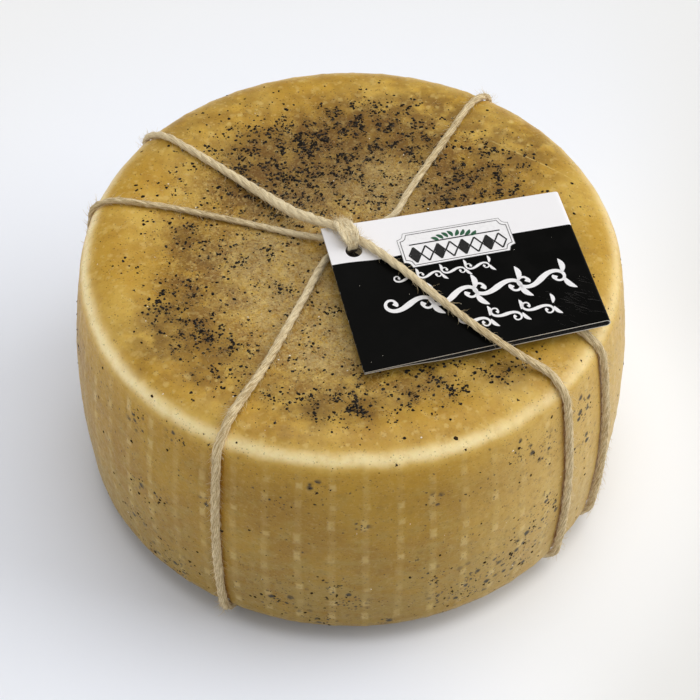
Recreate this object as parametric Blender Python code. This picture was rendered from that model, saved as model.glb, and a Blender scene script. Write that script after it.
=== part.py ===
"""A wheel of hard sheep's milk cheese, bound with jute twine, with a folded card tag.

Metres, +Z up. The origin is the middle of the underside, on the surface that the wheel stands on.
Azimuths run anticlockwise from +X, seen from above. The tag lies towards +X.
"""

import bisect
import math

import bpy
from mathutils import Vector

mm = 0.001

# The wheel
wheelRadius = 97.5 * mm  # at its widest
wheelHeight = 100.9 * mm
bellyLevel = 49.0 * mm  # height of the widest ring
bellyBulge = 4.7 * mm  # how far the side draws in, half a wheel above or below the belly
topShoulder = (16.0 * mm, 10.0 * mm)  # corner radius, inwards and downwards
bottomShoulder = (18.4 * mm, 14.0 * mm)
topSink = 0.6 * mm  # the top face is this much lower in the middle
footInner = 57.0 * mm  # inner radius of the flat ring that it stands on
dishEdge = 50.0 * mm  # where the hollow underside levels out
dishDepth = 3.9 * mm  # depth of the hollow there, which the twine runs through
dishMiddle = 6.6 * mm  # depth where the twines cross
waveDepth = 0.3 * mm  # hand-made unevenness of the side and the top

# The twine
twineRadius = 1.55 * mm
gap = 0.3 * mm  # clearance between touching pieces
biteDepth = 0.6 * mm  # how far the tight twine sinks into the shoulders and the side
grooveSlack = 0.5 * mm  # the grooves round the heel are this much wider
squeeze = 0.76  # twine radius factor where two strands cross
tightSqueeze = 0.8  # and inside the knot
undersideLevel = 1.85 * mm  # middle of the twine under the wheel
crossingLow = 1.55 * mm  # the two levels of a crossing, above the surface below it
crossingHigh = 4.25 * mm
longestStep = 9.0 * mm  # spacing of the points along straight twine
mostTurn = math.radians(14)  # and in a bend

# Azimuths of the six strands on the side, in degrees
strandA, strandB, strandC = 141.0, 164.6, 58.0
strandD, strandE, strandF = -117.5, -40.7, -26.0
strands = (strandA, strandB, strandC, strandD, strandE, strandF)
strandLines = (0.0, 0.65, 1.15, 1.65, 2.6)  # mesh lines beside each strand, in degrees
widestStep = 7.2  # and between strands

# The tag: its top left corner, the direction of its top edge, and the height of its corners
# above the wheel's top: top left, top right, bottom right, bottom left
tagCorner = (-10.2 * mm, 1.8 * mm)
tagYaw = math.radians(13.7)
tagWidth, tagDepth = 85.0 * mm, 62.5 * mm
tagRise = (8.0 * mm, 5.6 * mm, 7.2 * mm, 3.4 * mm)
tagBow = 0.5 * mm
cardThickness = 0.35 * mm
pinchedSpace = 0.6 * mm  # between the leaves' middle planes at the hole
leafSpace = 1.9 * mm  # and over most of the tag
foldSpace = 2.5 * mm  # and at the folded edge, on the right
holeAt = (8.7 * mm, 12.3 * mm)  # along and down from the corner
holeRadius = 2.9 * mm
punchLength = 12.0 * mm  # long enough for both leaves
holeLift = 0.75 * mm  # the crossed strands below raise the card round the hole
holeLiftReach = 11.0 * mm


def clear_scene():
    for thing in list(bpy.data.objects):
        bpy.data.objects.remove(thing, do_unlink=True)


def material(name, colour, roughness):
    mat = bpy.data.materials.new(name)
    mat.use_nodes = True
    shader = mat.node_tree.nodes["Principled BSDF"]
    shader.inputs["Base Color"].default_value = (*colour, 1.0)
    shader.inputs["Roughness"].default_value = roughness
    shader.inputs["Metallic"].default_value = 0.0
    return mat


def add_mesh(name, vertices, faces, mat, crease=40.0):
    mesh = bpy.data.meshes.new(name)
    mesh.from_pydata([tuple(v) for v in vertices], [], faces)
    mesh.validate()
    mesh.materials.append(mat)
    mesh.shade_smooth()
    mesh.set_sharp_from_angle(angle=math.radians(crease))
    thing = bpy.data.objects.new(name, mesh)
    bpy.context.scene.collection.objects.link(thing)
    return thing


def smooth(t):
    """0 below 0, 1 above 1, with a soft run between."""
    t = min(max(t, 0.0), 1.0)
    return t * t * (3.0 - 2.0 * t)


# ---- the wheel's form ----


def side_radius(z):
    return wheelRadius - bellyBulge * ((z - bellyLevel) / (wheelHeight / 2)) ** 2


def top_wave(x, y):
    """Height of the top face above or below wheelHeight."""
    sink = topSink * (1.0 - smooth(math.hypot(x, y) / wheelRadius))
    roll = math.sin(x / (23 * mm) + 1.0) * math.cos(y / (19 * mm) - 0.4)
    return waveDepth * roll - sink


def side_wave(azimuth, z):
    """How far the side stands out or in, level with z."""
    wave = 0.6 * math.sin(2 * azimuth + 0.6) + 0.4 * math.sin(5 * azimuth + 2.0)
    return waveDepth * wave * smooth(z / bottomShoulder[1])


def hollow(r):
    """Height of the underside: a flat foot ring round a shallow dish."""
    if r >= footInner:
        return 0.0
    if r >= dishEdge:
        return dishDepth * smooth((footInner - r) / (footInner - dishEdge))
    return dishDepth + (dishMiddle - dishDepth) * (1.0 - (r / dishEdge) ** 2)


def wheel_profile(cornerSteps=7, sideSteps=5):
    """(radius, height, zone) from just off the top's middle to just off the underside's."""
    across, down = topShoulder
    topStart = side_radius(wheelHeight - down) - across
    rows = [(topStart * k, wheelHeight, "top") for k in (0.16, 0.38, 0.6, 0.8, 0.93)]
    for k in range(cornerSteps + 1):
        turn = math.pi / 2 * k / cornerSteps
        r = topStart + across * math.sin(turn)
        rows.append((r, wheelHeight - down + down * math.cos(turn), "shoulder"))
    top, bottom = wheelHeight - down, bottomShoulder[1]
    for k in range(1, sideSteps):
        z = top + (bottom - top) * k / sideSteps
        rows.append((side_radius(z), z, "side"))
    across, down = bottomShoulder
    footOuter = side_radius(down) - across
    for k in range(cornerSteps + 1):
        turn = math.pi / 2 * k / cornerSteps
        r = footOuter + across * math.cos(turn)
        rows.append((r, down - down * math.sin(turn), "heel"))
    for share in (0.5, 0.0):
        r = footInner + (footOuter - footInner) * share
        rows.append((r, 0.0, "foot"))
    for share in (0.75, 0.5, 0.25, 0.0):
        r = dishEdge + (footInner - dishEdge) * share
        rows.append((r, hollow(r), "foot"))
    for share in (0.72, 0.44, 0.16):
        rows.append((dishEdge * share, hollow(dishEdge * share), "foot"))
    return rows


def profile_normals(rows):
    """Outward normals of the profile, from the neighbours of each point."""
    found = []
    for k, (r, z, zone) in enumerate(rows):
        before, after = rows[max(k - 1, 0)], rows[min(k + 1, len(rows) - 1)]
        along = Vector((after[0] - before[0], after[1] - before[1])).normalized()
        found.append((-along[1], along[0]))
        if zone == "foot" or zone == "top":
            found[-1] = (0.0, 1.0 if zone == "top" else -1.0)
    return found


def twine_offset(z, normal, zone):
    """Distance of the twine's middle outwards from the wheel's undented surface."""
    onTop = twineRadius + gap
    if zone == "top":
        return onTop
    if zone == "foot":
        return z - undersideLevel
    tight = onTop - biteDepth
    if zone == "shoulder":
        return onTop - biteDepth * smooth(2.5 * (wheelHeight - z) / topShoulder[1])
    if zone == "heel" and normal[1] < -0.05:
        return min(tight, (z - undersideLevel) / -normal[1])
    return tight


def dent(reach, offset, zone):
    """Depth pressed into the rind at a distance reach beside a strand's middle."""
    clear = twineRadius + gap
    if zone in ("heel", "foot"):
        clear += grooveSlack
    if reach > clear + 0.3 * mm:
        return 0.0
    groove = offset - math.sqrt(max(clear**2 - reach**2, 0.0))
    return max(0.0, -groove)


def line_azimuths():
    """Azimuths of the mesh's lines, in degrees: close together beside each strand."""
    lines = set()
    for strand in strands:
        for step in strandLines:
            lines.update((round(strand - step, 4), round(strand + step, 4)))
    lines = sorted(lines)
    filled = []
    for first, second in zip(lines, lines[1:] + [lines[0] + 360.0]):
        parts = max(1, math.ceil((second - first) / widestStep))
        filled.extend(first + (second - first) * k / parts for k in range(parts))
    return filled


def wheel_point(azimuth, row, normal):
    """A point of the wheel's surface, dented where a strand passes."""
    r, z, zone = row
    angle = math.radians(azimuth)
    offset = twine_offset(z, normal, zone)
    nearest = min(abs((azimuth - strand + 180.0) % 360.0 - 180.0) for strand in strands)
    depth = 0.0
    if nearest < 20.0 and zone != "top":
        depth = dent(r * math.sin(math.radians(nearest)), offset, zone)
    r += side_wave(angle, z) * abs(normal[0]) - depth * normal[0]
    x, y = r * math.cos(angle), r * math.sin(angle)
    if zone in ("top", "shoulder"):
        z += top_wave(x, y) * smooth((z - bellyLevel) / (wheelHeight - bellyLevel))
    return Vector((x, y, z - depth * normal[1]))


def make_wheel(mat):
    rows = wheel_profile()
    normals = profile_normals(rows)
    azimuths = line_azimuths()
    count = len(azimuths)
    vertices = [wheel_point(a, row, n) for row, n in zip(rows, normals) for a in azimuths]
    faces = []
    for ring in range(len(rows) - 1):
        for k in range(count):
            here, beside = ring * count + k, ring * count + (k + 1) % count
            faces.append((here, here + count, beside + count, beside))
    vertices.append(Vector((0.0, 0.0, wheelHeight + top_wave(0.0, 0.0))))
    vertices.append(Vector((0.0, 0.0, hollow(0.0))))
    top, bottom, last = len(vertices) - 2, len(vertices) - 1, (len(rows) - 1) * count
    for k in range(count):
        beside = (k + 1) % count
        faces.append((top, k, beside))
        faces.append((bottom, last + beside, last + k))
    return add_mesh("cheese_wheel", vertices, faces, mat)


# ---- the tag's form ----


def tag_axes():
    along = Vector((math.cos(tagYaw), math.sin(tagYaw), 0.0))
    down = Vector((math.sin(tagYaw), -math.cos(tagYaw), 0.0))
    return along, down


def card_height(u, w):
    """Height of the upper leaf's middle plane, u along its top edge and w down from it."""
    across, away = u / tagWidth, w / tagDepth
    topLeft, topRight, bottomRight, bottomLeft = tagRise
    rise = (topLeft * (1 - across) + topRight * across) * (1 - away)
    rise += (bottomLeft * (1 - across) + bottomRight * across) * away
    rise += tagBow * math.sin(math.pi * across) * math.sin(math.pi * away)
    fromHole = math.hypot(u - holeAt[0], w - holeAt[1]) / holeLiftReach
    return wheelHeight + rise + holeLift * math.exp(-(fromHole**2))


def leaf_space(u):
    opened = pinchedSpace + (leafSpace - pinchedSpace) * smooth((u - 10 * mm) / (22 * mm))
    return opened + (foldSpace - leafSpace) * (u / tagWidth)


def card_section(w, leafSteps=10, foldSteps=6):
    """The folded card cut across at w: (outer, inner) points from leaf edge to leaf edge."""
    foldRadius = leaf_space(tagWidth) / 2
    straight = tagWidth - foldRadius
    half = cardThickness / 2
    outer, inner = [], []
    for k in range(leafSteps + 1):
        u = straight * k / leafSteps
        outer.append((u, card_height(u, w) + half))
        inner.append((u, card_height(u, w) - half))
    middle = card_height(straight, w) - foldRadius
    for k in range(1, foldSteps):
        turn = math.pi * k / foldSteps
        for points, radius in ((outer, foldRadius + half), (inner, foldRadius - half)):
            points.append((straight + radius * math.sin(turn), middle + radius * math.cos(turn)))
    for k in range(leafSteps + 1):
        u = straight * (leafSteps - k) / leafSteps
        level = card_height(u, w) - leaf_space(u)
        if k == 0:
            level = middle - foldRadius
        outer.append((u, level - half))
        inner.append((u, level + half))
    return outer, inner


def tag_place(u, w, z):
    along, down = tag_axes()
    place = Vector((tagCorner[0], tagCorner[1], 0.0)) + along * u + down * w
    place.z = z
    return place


def make_tag(mat, rowsDown=7):
    vertices, faces = [], []
    for j in range(rowsDown + 1):
        w = tagDepth * j / rowsDown
        outer, inner = card_section(w)
        vertices.extend(tag_place(u, w, z) for u, z in outer + inner)
    steps = len(outer)
    row = 2 * steps
    for j in range(rowsDown):
        for k in range(steps - 1):
            a, b = j * row + k, j * row + k + 1
            faces.append((a, a + row, b + row, b))
            faces.append((a + steps, b + steps, b + steps + row, a + steps + row))
        for end, turned in ((0, False), (steps - 1, True)):
            a = j * row + end
            face = (a, a + steps, a + steps + row, a + row)
            faces.append(face[::-1] if turned else face)
    for j, turned in ((0, False), (rowsDown, True)):
        for k in range(steps - 1):
            a = j * row + k
            face = (a, a + 1, a + 1 + steps, a + steps)
            faces.append(face[::-1] if turned else face)
    tag = add_mesh("tag", vertices, faces, mat, crease=30.0)
    punch_hole(tag)
    return tag


def punch_hole(tag):
    """A Boolean cut through both leaves, for the twine."""
    bpy.ops.mesh.primitive_cylinder_add(vertices=20, radius=holeRadius, depth=punchLength)
    punch = bpy.context.object
    punch.name = "tag_punch"
    punch.location = tag_place(*holeAt, card_height(*holeAt))
    punch.hide_render = True
    punch.display_type = "WIRE"
    cut = tag.modifiers.new("hole", "BOOLEAN")
    cut.operation = "DIFFERENCE"
    cut.solver = "EXACT"
    cut.object = punch


# ---- the twine's routes ----


def on_top(x, y, rise=None, thickness=1.0):
    """A route point at (x, y) mm on the top face, rise mm above it or just resting."""
    x, y = x * mm, y * mm
    level = twineRadius + gap if rise is None else rise * mm
    return (x, y, wheelHeight + top_wave(x, y) + level, thickness)


def over_tag(u, w, thickness=1.0):
    """A route point lying on the upper leaf, u along and w down it in millimetres."""
    u, w = u * mm, w * mm
    rest = card_height(u, w) + cardThickness / 2 + gap + twineRadius * thickness
    place = tag_place(u, w, rest)
    return (*place, thickness)


def down_side(azimuth):
    """Route points from the top's edge to the hollow underside."""
    angle = math.radians(azimuth)
    rows = wheel_profile(cornerSteps=6, sideSteps=8)
    points = []
    for (r, z, zone), normal in zip(rows, profile_normals(rows)):
        if zone == "top" or (zone == "foot" and r < dishEdge):
            continue
        offset = twine_offset(z, normal, zone)
        r += side_wave(angle, z) * abs(normal[0]) + offset * normal[0]
        x, y = r * math.cos(angle), r * math.sin(angle)
        z += offset * normal[1]
        if zone == "shoulder":
            z += top_wave(x, y) * smooth((z - bellyLevel) / (wheelHeight - bellyLevel))
        points.append((x, y, z, 1.0))
    return points


def under_wheel(first, second, high, *crossings):
    """Route points between two strands across the hollow underside, humped at its crossings."""
    ends = [Vector((dishEdge * 0.94, 0.0, undersideLevel)) for _ in (first, second)]
    for end, azimuth in zip(ends, (first, second)):
        angle = math.radians(azimuth)
        end.xy = (end.x * math.cos(angle), end.x * math.sin(angle))
    run = ends[1] - ends[0]
    steps = 14
    points = []
    for k in range(steps + 1):
        place = ends[0] + run * (k / steps)
        near = min(abs((place - Vector((*spot, undersideLevel))).length) for spot in crossings)
        closeness = 1.0 - smooth((near - 2.5 * mm) / (9 * mm))
        level = crossingHigh if high else crossingLow
        place.z += (level - undersideLevel) * closeness
        points.append((*place, 1.0 - (1.0 - squeeze) * closeness))
    return points


def line_crossing(first, second, third, fourth):
    """Where the chord between two strands meets another chord, in plan."""
    a, b, c, d = (Vector((math.cos(math.radians(s)), math.sin(math.radians(s)))) * dishEdge
                  for s in (first, second, third, fourth))
    p, q = b - a, d - c
    t = (c - a).cross(q) / p.cross(q)
    return a + p * t


def catmull(points, samples=12):
    """A closed smooth curve through the route's points, sampled closely."""
    count = len(points)
    found = []
    for k in range(count):
        p0, p1, p2, p3 = (Vector(points[(k + i) % count]) for i in (-1, 0, 1, 2))
        for s in range(samples):
            t = s / samples
            found.append(0.5 * ((2 * p1) + (p2 - p0) * t + (2 * p0 - 5 * p1 + 4 * p2 - p3) * t**2
                                + (3 * p1 - p0 - 3 * p2 + p3) * t**3))
    return found


def even_points(points, step):
    """The same closed curve with points a step apart."""
    lengths = [0.0]
    for here, after in zip(points, points[1:] + points[:1]):
        lengths.append(lengths[-1] + (after.xyz - here.xyz).length)
    total = lengths[-1]
    count = round(total / step)
    closed = points + points[:1]
    found = []
    for k in range(count):
        want = total * k / count
        i = bisect.bisect_right(lengths, want) - 1
        share = (want - lengths[i]) / max(lengths[i + 1] - lengths[i], 1e-9)
        found.append(closed[i].lerp(closed[i + 1], share))
    return found


def sparse_points(points):
    """Fewer points of the same closed curve: far apart where it runs straight, close in its bends."""
    kept = [points[0]]
    heading = (points[1] - points[0]).xyz
    for here, after in zip(points[1:], points[2:]):
        onward = (after - here).xyz
        far = (here.xyz - kept[-1].xyz).length > longestStep
        thinned = abs(here.w - kept[-1].w) > 0.06
        if far or thinned or onward.angle(heading) > mostTurn:
            kept.append(here)
            heading = onward
    return kept


def make_twine(name, route, mat):
    curve = bpy.data.curves.new(name, "CURVE")
    curve.dimensions = "3D"
    curve.bevel_depth = twineRadius
    curve.bevel_resolution = 2
    curve.resolution_u = curve.render_resolution_u = 1
    points = sparse_points(even_points(catmull(route), 1.0 * mm))
    spline = curve.splines.new("POLY")
    spline.points.add(len(points) - 1)
    for target, (x, y, z, thickness) in zip(spline.points, points):
        target.co = (x, y, z, 1.0)
        target.radius = thickness
    spline.use_cyclic_u = True
    curve.materials.append(mat)
    thing = bpy.data.objects.new(name, curve)
    bpy.context.scene.collection.objects.link(thing)
    return thing


def long_wrap_route():
    """Twice round the wheel: E over the tag, B, F under the tag, A, and back to the knot."""
    crossBE = line_crossing(strandB, strandE, strandC, strandD)
    crossAF = line_crossing(strandA, strandF, strandC, strandD)
    route = [over_tag(8.7, 6.2, tightSqueeze), over_tag(11.9, 10.3, tightSqueeze)]
    route += [over_tag(16.7, 16.5, 0.95), over_tag(24.4, 27.0), over_tag(31.8, 39.6)]
    route += [over_tag(39.6, 52.6), over_tag(46.0, 62.8)]
    route += [on_top(56.0, -52.4, 5.6)]
    route += down_side(strandE)[2:]
    route += under_wheel(strandE, strandB, True, crossBE)
    route += reversed(down_side(strandB))
    route += [on_top(-63.0, 17.6), on_top(-45.4, 12.9), on_top(-27.9, 7.8), on_top(-17.5, 5.0)]
    route += [on_top(-9.9, 3.0, 2.8, 0.9), on_top(-3.8, -0.6, 4.2, squeeze)]
    route += [on_top(1.5, -2.7, 3.4, 0.85), on_top(8.5, -5.6, 1.9), on_top(25.0, -13.0)]
    route += [on_top(48.0, -23.5), on_top(66.0, -31.6)]
    route += down_side(strandF)
    route += under_wheel(strandF, strandA, True, crossAF)
    route += reversed(down_side(strandA))
    route += [on_top(-53.4, 43.3), on_top(-43.0, 34.8), on_top(-31.7, 24.6, 3.0)]
    route += [on_top(-21.0, 13.1, 6.2), on_top(-12.6, 6.4, 8.6), over_tag(3.0, 0.2, 0.95)]
    return route


def cross_wrap_route():
    """Once round the wheel: C to D over the top, low under the other strands and the tag."""
    crossBE = line_crossing(strandB, strandE, strandC, strandD)
    crossAF = line_crossing(strandA, strandF, strandC, strandD)
    route = list(reversed(down_side(strandC)))
    route += [on_top(35.6, 55.2), on_top(28.2, 41.3), on_top(20.9, 27.2), on_top(15.2, 15.0)]
    route += [on_top(7.5, 8.6), on_top(0.2, 3.6, 1.55, 0.85), on_top(-3.8, -0.6, 1.45, squeeze)]
    route += [on_top(-7.4, -4.4, 1.6, 0.85), on_top(-10.6, -10.5), on_top(-14.6, -20.5)]
    route += [on_top(-21.9, -38.4), on_top(-29.6, -56.6)]
    route += down_side(strandD)
    route += under_wheel(strandD, strandC, False, crossBE, crossAF)
    return route


# ---- the knot ----


def knot_loop():
    """The wrap's middle line: (shift along, w down, height) points round the hole's rim strip."""
    top = (card_height(*holeAt) + cardThickness / 2 - wheelHeight) / mm
    low = top - 2.3
    return [(0.0, 11.7, low + 1.3), (0.0, 11.7, top + 0.4), (-0.1, 11.3, top + 2.2),
            (-0.5, 9.9, top + 4.0), (-0.9, 6.8, top + 4.8), (-1.4, 3.2, top + 5.1),
            (-1.9, -0.2, top + 4.4), (-2.3, -2.4, top + 2.2), (-2.4, -2.6, top - 0.2),
            (-2.2, -1.2, low + 0.1), (-1.6, 2.4, low - 0.25), (-0.9, 6.4, low - 0.25),
            (-0.3, 9.8, low - 0.15)]


def knot_section(place):
    """Half width and half thickness of the wrap: fat over the strand, flat under the card."""
    shift, w, level = place
    top = (card_height(*holeAt) - wheelHeight) / mm
    fat = smooth((level - top - 1.5) / 3.0)
    flat = 1.0 - smooth((level - top + 2.6) / 1.2)
    width = 1.7 + 1.7 * fat
    return width * mm, (1.0 + 0.3 * fat - 0.5 * flat) * mm


def make_knot(mat, sides=10, step=1.1 * mm):
    """One wrap of untwisted twine, through the tag's hole and over its top edge."""
    along, down = tag_axes()
    places = even_points(catmull([(*place, 0.0) for place in knot_loop()]), step / mm)
    vertices, faces = [], []
    count = len(places)
    for k, place in enumerate(places):
        before, after = places[k - 1], places[(k + 1) % count]
        heading = Vector((after[1] - before[1], after[2] - before[2])).normalized()
        outward = down * -heading[1] + Vector((0.0, 0.0, heading[0]))
        middle = tag_place(holeAt[0] + place[0] * mm, place[1] * mm, wheelHeight + place[2] * mm)
        width, thick = knot_section(place.xyz)
        for s in range(sides):
            turn = 2 * math.pi * s / sides
            vertices.append(middle + along * width * math.cos(turn) + outward * thick * math.sin(turn))
    for k in range(count):
        for s in range(sides):
            a, b = k * sides + s, k * sides + (s + 1) % sides
            c, d = (a + sides) % (count * sides), (b + sides) % (count * sides)
            faces.append((a, b, d, c))
    return add_mesh("knot", vertices, faces, mat)


def main():
    clear_scene()
    rind = material("rind", (0.50, 0.33, 0.10), 0.45)
    jute = material("jute", (0.62, 0.50, 0.31), 0.9)
    card = material("card", (0.02, 0.02, 0.02), 0.3)
    make_wheel(rind)
    make_twine("twine_long_wrap", long_wrap_route(), jute)
    make_twine("twine_cross_wrap", cross_wrap_route(), jute)
    make_knot(jute)
    make_tag(card)


main()
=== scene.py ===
import bisect
import math
import random

import bpy
import numpy as np
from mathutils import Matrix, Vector, noise


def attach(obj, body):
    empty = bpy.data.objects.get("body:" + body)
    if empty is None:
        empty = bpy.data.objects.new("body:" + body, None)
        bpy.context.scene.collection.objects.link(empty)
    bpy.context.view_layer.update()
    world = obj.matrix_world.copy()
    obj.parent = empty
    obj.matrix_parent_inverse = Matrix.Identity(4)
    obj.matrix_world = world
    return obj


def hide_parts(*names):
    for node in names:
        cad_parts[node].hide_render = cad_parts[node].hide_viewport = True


mm = 0.001
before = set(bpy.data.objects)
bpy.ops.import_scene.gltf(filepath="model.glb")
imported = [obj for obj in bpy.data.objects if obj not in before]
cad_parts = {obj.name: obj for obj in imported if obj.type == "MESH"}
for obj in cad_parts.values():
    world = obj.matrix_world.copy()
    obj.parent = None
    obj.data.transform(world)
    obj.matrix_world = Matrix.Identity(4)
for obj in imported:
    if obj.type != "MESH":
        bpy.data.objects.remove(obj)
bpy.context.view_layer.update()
print("frame loaded:", sorted(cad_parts))


def smooth(t):
    t = min(max(t, 0.0), 1.0)
    return t * t * (3.0 - 2.0 * t)


def softNoise(x, y, z, size):
    # about -1 to 1, with features of that size
    return noise.noise(Vector((x / size, y / size, z / size)))


def paint(red, green, blue):
    # a screen colour, 0 to 255, as the linear one that shaders take
    shares = (value / 255 for value in (red, green, blue))
    return (*(c / 12.92 if c <= 0.04 else ((c + 0.055) / 1.055) ** 2.4 for c in shares), 1.0)


def meshObject(name, vertices, faces, materials=(), smoothed=True):
    mesh = bpy.data.meshes.new(name)
    mesh.from_pydata([tuple(v) for v in vertices], [], faces)
    mesh.validate()
    for mat in materials:
        mesh.materials.append(mat)
    if smoothed:
        mesh.shade_smooth()
    thing = bpy.data.objects.new(name, mesh)
    bpy.context.scene.collection.objects.link(thing)
    return thing


def pointAttribute(mesh, name, values):
    values = np.asarray(values, np.float32)
    mesh.attributes.new(name, "FLOAT", "POINT").data.foreach_set("value", values)


def finished(thing, slot, *nodes):
    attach(thing, "root")
    if nodes:
        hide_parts(*nodes)
    print(thing.name, len(thing.data.polygons), "faces")
    return thing


class Wire:
    # a node's output, which can be added, multiplied and so on: each sum makes a Math node in its tree
    def __init__(self, socket):
        self.socket, self.tree = socket, socket.id_data

    def __abs__(self):
        return reckon("ABSOLUTE", self)


for sign, operation in (("add", "ADD"), ("sub", "SUBTRACT"), ("mul", "MULTIPLY"), ("truediv", "DIVIDE"),
                        ("pow", "POWER")):
    setattr(Wire, f"__{sign}__", lambda first, second, way=operation: reckon(way, first, second))
    setattr(Wire, f"__r{sign}__", lambda second, first, way=operation: reckon(way, first, second))


def treeOf(*values):
    return next(value.tree for value in values if isinstance(value, Wire))


def put(tree, kind, inputs=None, **settings):
    # one node: settings are its properties, inputs are linked where they are wires and set elsewhere
    made = tree.nodes.new(kind)
    for key, value in settings.items():
        setattr(made, key, value)
    for key, value in (inputs or {}).items():
        if isinstance(value, Wire):
            tree.links.new(value.socket, made.inputs[key])
        else:
            made.inputs[key].default_value = value
    return made


def wire(tree, kind, inputs=None, output=0, **settings):
    return Wire(put(tree, kind, inputs, **settings).outputs[output])


def reckon(operation, first, second=0.5, third=0.5):
    inputs = {0: first, 1: second, 2: third}
    return wire(treeOf(first, second), "ShaderNodeMath", inputs, operation=operation)


def scaled(value, factor, shift):
    return reckon("MULTIPLY_ADD", value, factor, shift)


def vectors(operation, first, second=None, scale=None, output=0):
    inputs = {key: value for key, value in ((0, first), (1, second), ("Scale", scale)) if value is not None}
    return wire(first.tree, "ShaderNodeVectorMath", inputs, output, operation=operation)


def parts(value, kind="XYZ"):
    return [Wire(socket) for socket in put(value.tree, "ShaderNodeSeparate" + kind, {0: value}).outputs]


def between(value, low, high, fromValue=0.0, toValue=1.0):
    # 0 below low and 1 above high, with a soft run between
    inputs = {"Value": value, "From Min": low, "From Max": high, "To Min": fromValue, "To Max": toValue}
    return wire(value.tree, "ShaderNodeMapRange", inputs, interpolation_type="SMOOTHSTEP")


def layer(amount, under, over):
    return wire(treeOf(amount, under), "ShaderNodeMix", {0: amount, 6: under, 7: over}, 2, data_type="RGBA")


def painted(colour, look, coats):
    # coats are laid on in turn, each the name of a colour in the look and how strongly it covers
    for name, share in coats:
        colour = layer(share, colour, look[name])
    return colour


def grain(place, size, detail=3.0, rough=0.55, stretch=(1.0, 1.0, 1.0), shift=0.0):
    # noise with features of that size in metres, about 0.5 in the middle; stretch squeezes it along an axis
    inputs = {"Vector": place, "Location": (shift, shift, shift), "Scale": stretch}
    inputs = {"Vector": wire(place.tree, "ShaderNodeMapping", inputs), "Scale": 1.0 / size, "Detail": detail,
              "Roughness": rough}
    return wire(place.tree, "ShaderNodeTexNoise", inputs, "Fac")


def cells(place, size, feature="F1"):
    # distance to the nearest cell's middle, or to the cells' walls, in shares of a cell
    inputs = {"Vector": place, "Scale": 1.0 / size}
    return wire(place.tree, "ShaderNodeTexVoronoi", inputs, "Distance", feature=feature)


def blots(place, size, smallest, largest, rarity=2.5):
    # soft uneven spots, at most one to a cell of that size, their radii in metres
    inputs = {"Vector": place, "Scale": 1.0 / (1.3 * mm), "Detail": 3.0}
    ripple = wire(place.tree, "ShaderNodeTexNoise", inputs, "Color")
    push = vectors("SCALE", vectors("SUBTRACT", ripple, (0.5, 0.5, 0.5)), scale=1.4 * mm)
    inputs = {"Vector": vectors("ADD", place, push), "Scale": 1.0 / size}
    made = put(place.tree, "ShaderNodeTexVoronoi", inputs).outputs
    luck = parts(Wire(made["Color"]), "Color")[0]
    reach = scaled(luck**rarity, (largest - smallest) / size, smallest / size)
    return between(Wire(made["Distance"]) / reach, 1.05, 0.45)


def attribute(tree, name, output="Fac"):
    return wire(tree, "ShaderNodeAttribute", None, output, attribute_name=name, attribute_type="GEOMETRY")


def newMaterial(name, **settings):
    # a material, its shader and its Object coordinates; settings with a capital are the shader's inputs
    mat = bpy.data.materials.new(name)
    mat.use_nodes = True
    shader = mat.node_tree.nodes["Principled BSDF"]
    for key, value in settings.items():
        if key[0].isupper():
            shader.inputs[key.replace("_", " ")].default_value = value
    return mat, shader, wire(mat.node_tree, "ShaderNodeTexCoord", None, "Object")


def join(value, shader, name):
    value.tree.links.new(value.socket, shader.inputs[name])


def bump(shader, height, depth):
    inputs = {"Height": height, "Distance": depth, "Strength": 1.0}
    join(wire(height.tree, "ShaderNodeBump", inputs), shader, "Normal")


def mottledMaterial(name, size, first, second, roughness):
    mat, shader, place = newMaterial(name, Roughness=roughness)
    join(layer(grain(place, size), first, second), shader, "Base Color")
    return mat


def grownMesh(name, source, tree, values):
    # runs a Geometry Nodes tree over an object and keeps the plain mesh that comes out
    grower = source.modifiers.new("grow", "NODES")
    grower.node_group = tree
    sockets = {s.name: s.identifier for s in tree.interface.items_tree if s.in_out == "INPUT"}
    for key, value in values.items():
        grower[sockets[key]] = value
    graph = bpy.context.evaluated_depsgraph_get()
    mesh = bpy.data.meshes.new_from_object(source.evaluated_get(graph), depsgraph=graph)
    source.modifiers.remove(grower)
    mesh.name = name
    thing = bpy.data.objects.new(name, mesh)
    bpy.context.scene.collection.objects.link(thing)
    return thing


def newTree(name, **inputs):
    # a tree from Geometry to Geometry, with the inputs named for each kind of socket; gives them as wires
    tree = bpy.data.node_groups.new(name, "GeometryNodeTree")
    tree.interface.new_socket("Geometry", in_out="INPUT", socket_type="NodeSocketGeometry")
    for kind, labels in inputs.items():
        for label in labels.split(", "):
            tree.interface.new_socket(label, in_out="INPUT", socket_type="NodeSocket" + kind)
    tree.interface.new_socket("Geometry", in_out="OUTPUT", socket_type="NodeSocketGeometry")
    return tree, {s.name: Wire(s) for s in tree.nodes.new("NodeGroupInput").outputs if s.name}


def endTree(geometry, material):
    real = wire(geometry.tree, "GeometryNodeRealizeInstances", {"Geometry": geometry})
    dressed = wire(real.tree, "GeometryNodeSetMaterial", {"Geometry": real, "Material": material})
    real.tree.links.new(dressed.socket, real.tree.nodes.new("NodeGroupOutput").inputs[0])


def stored(geometry, name, value, kind="FLOAT"):
    inputs = {"Geometry": geometry, "Name": name, 3: value}
    return wire(geometry.tree, "GeometryNodeStoreNamedAttribute", inputs, data_type=kind, domain="POINT")


def named(tree, name, kind="FLOAT"):
    return wire(tree, "GeometryNodeInputNamedAttribute", {"Name": name}, data_type=kind)


def randomValue(low, high, seed):
    return wire(seed.tree, "FunctionNodeRandomValue", {2: low, 3: high, 8: seed}, 1, data_type="FLOAT")


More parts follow.
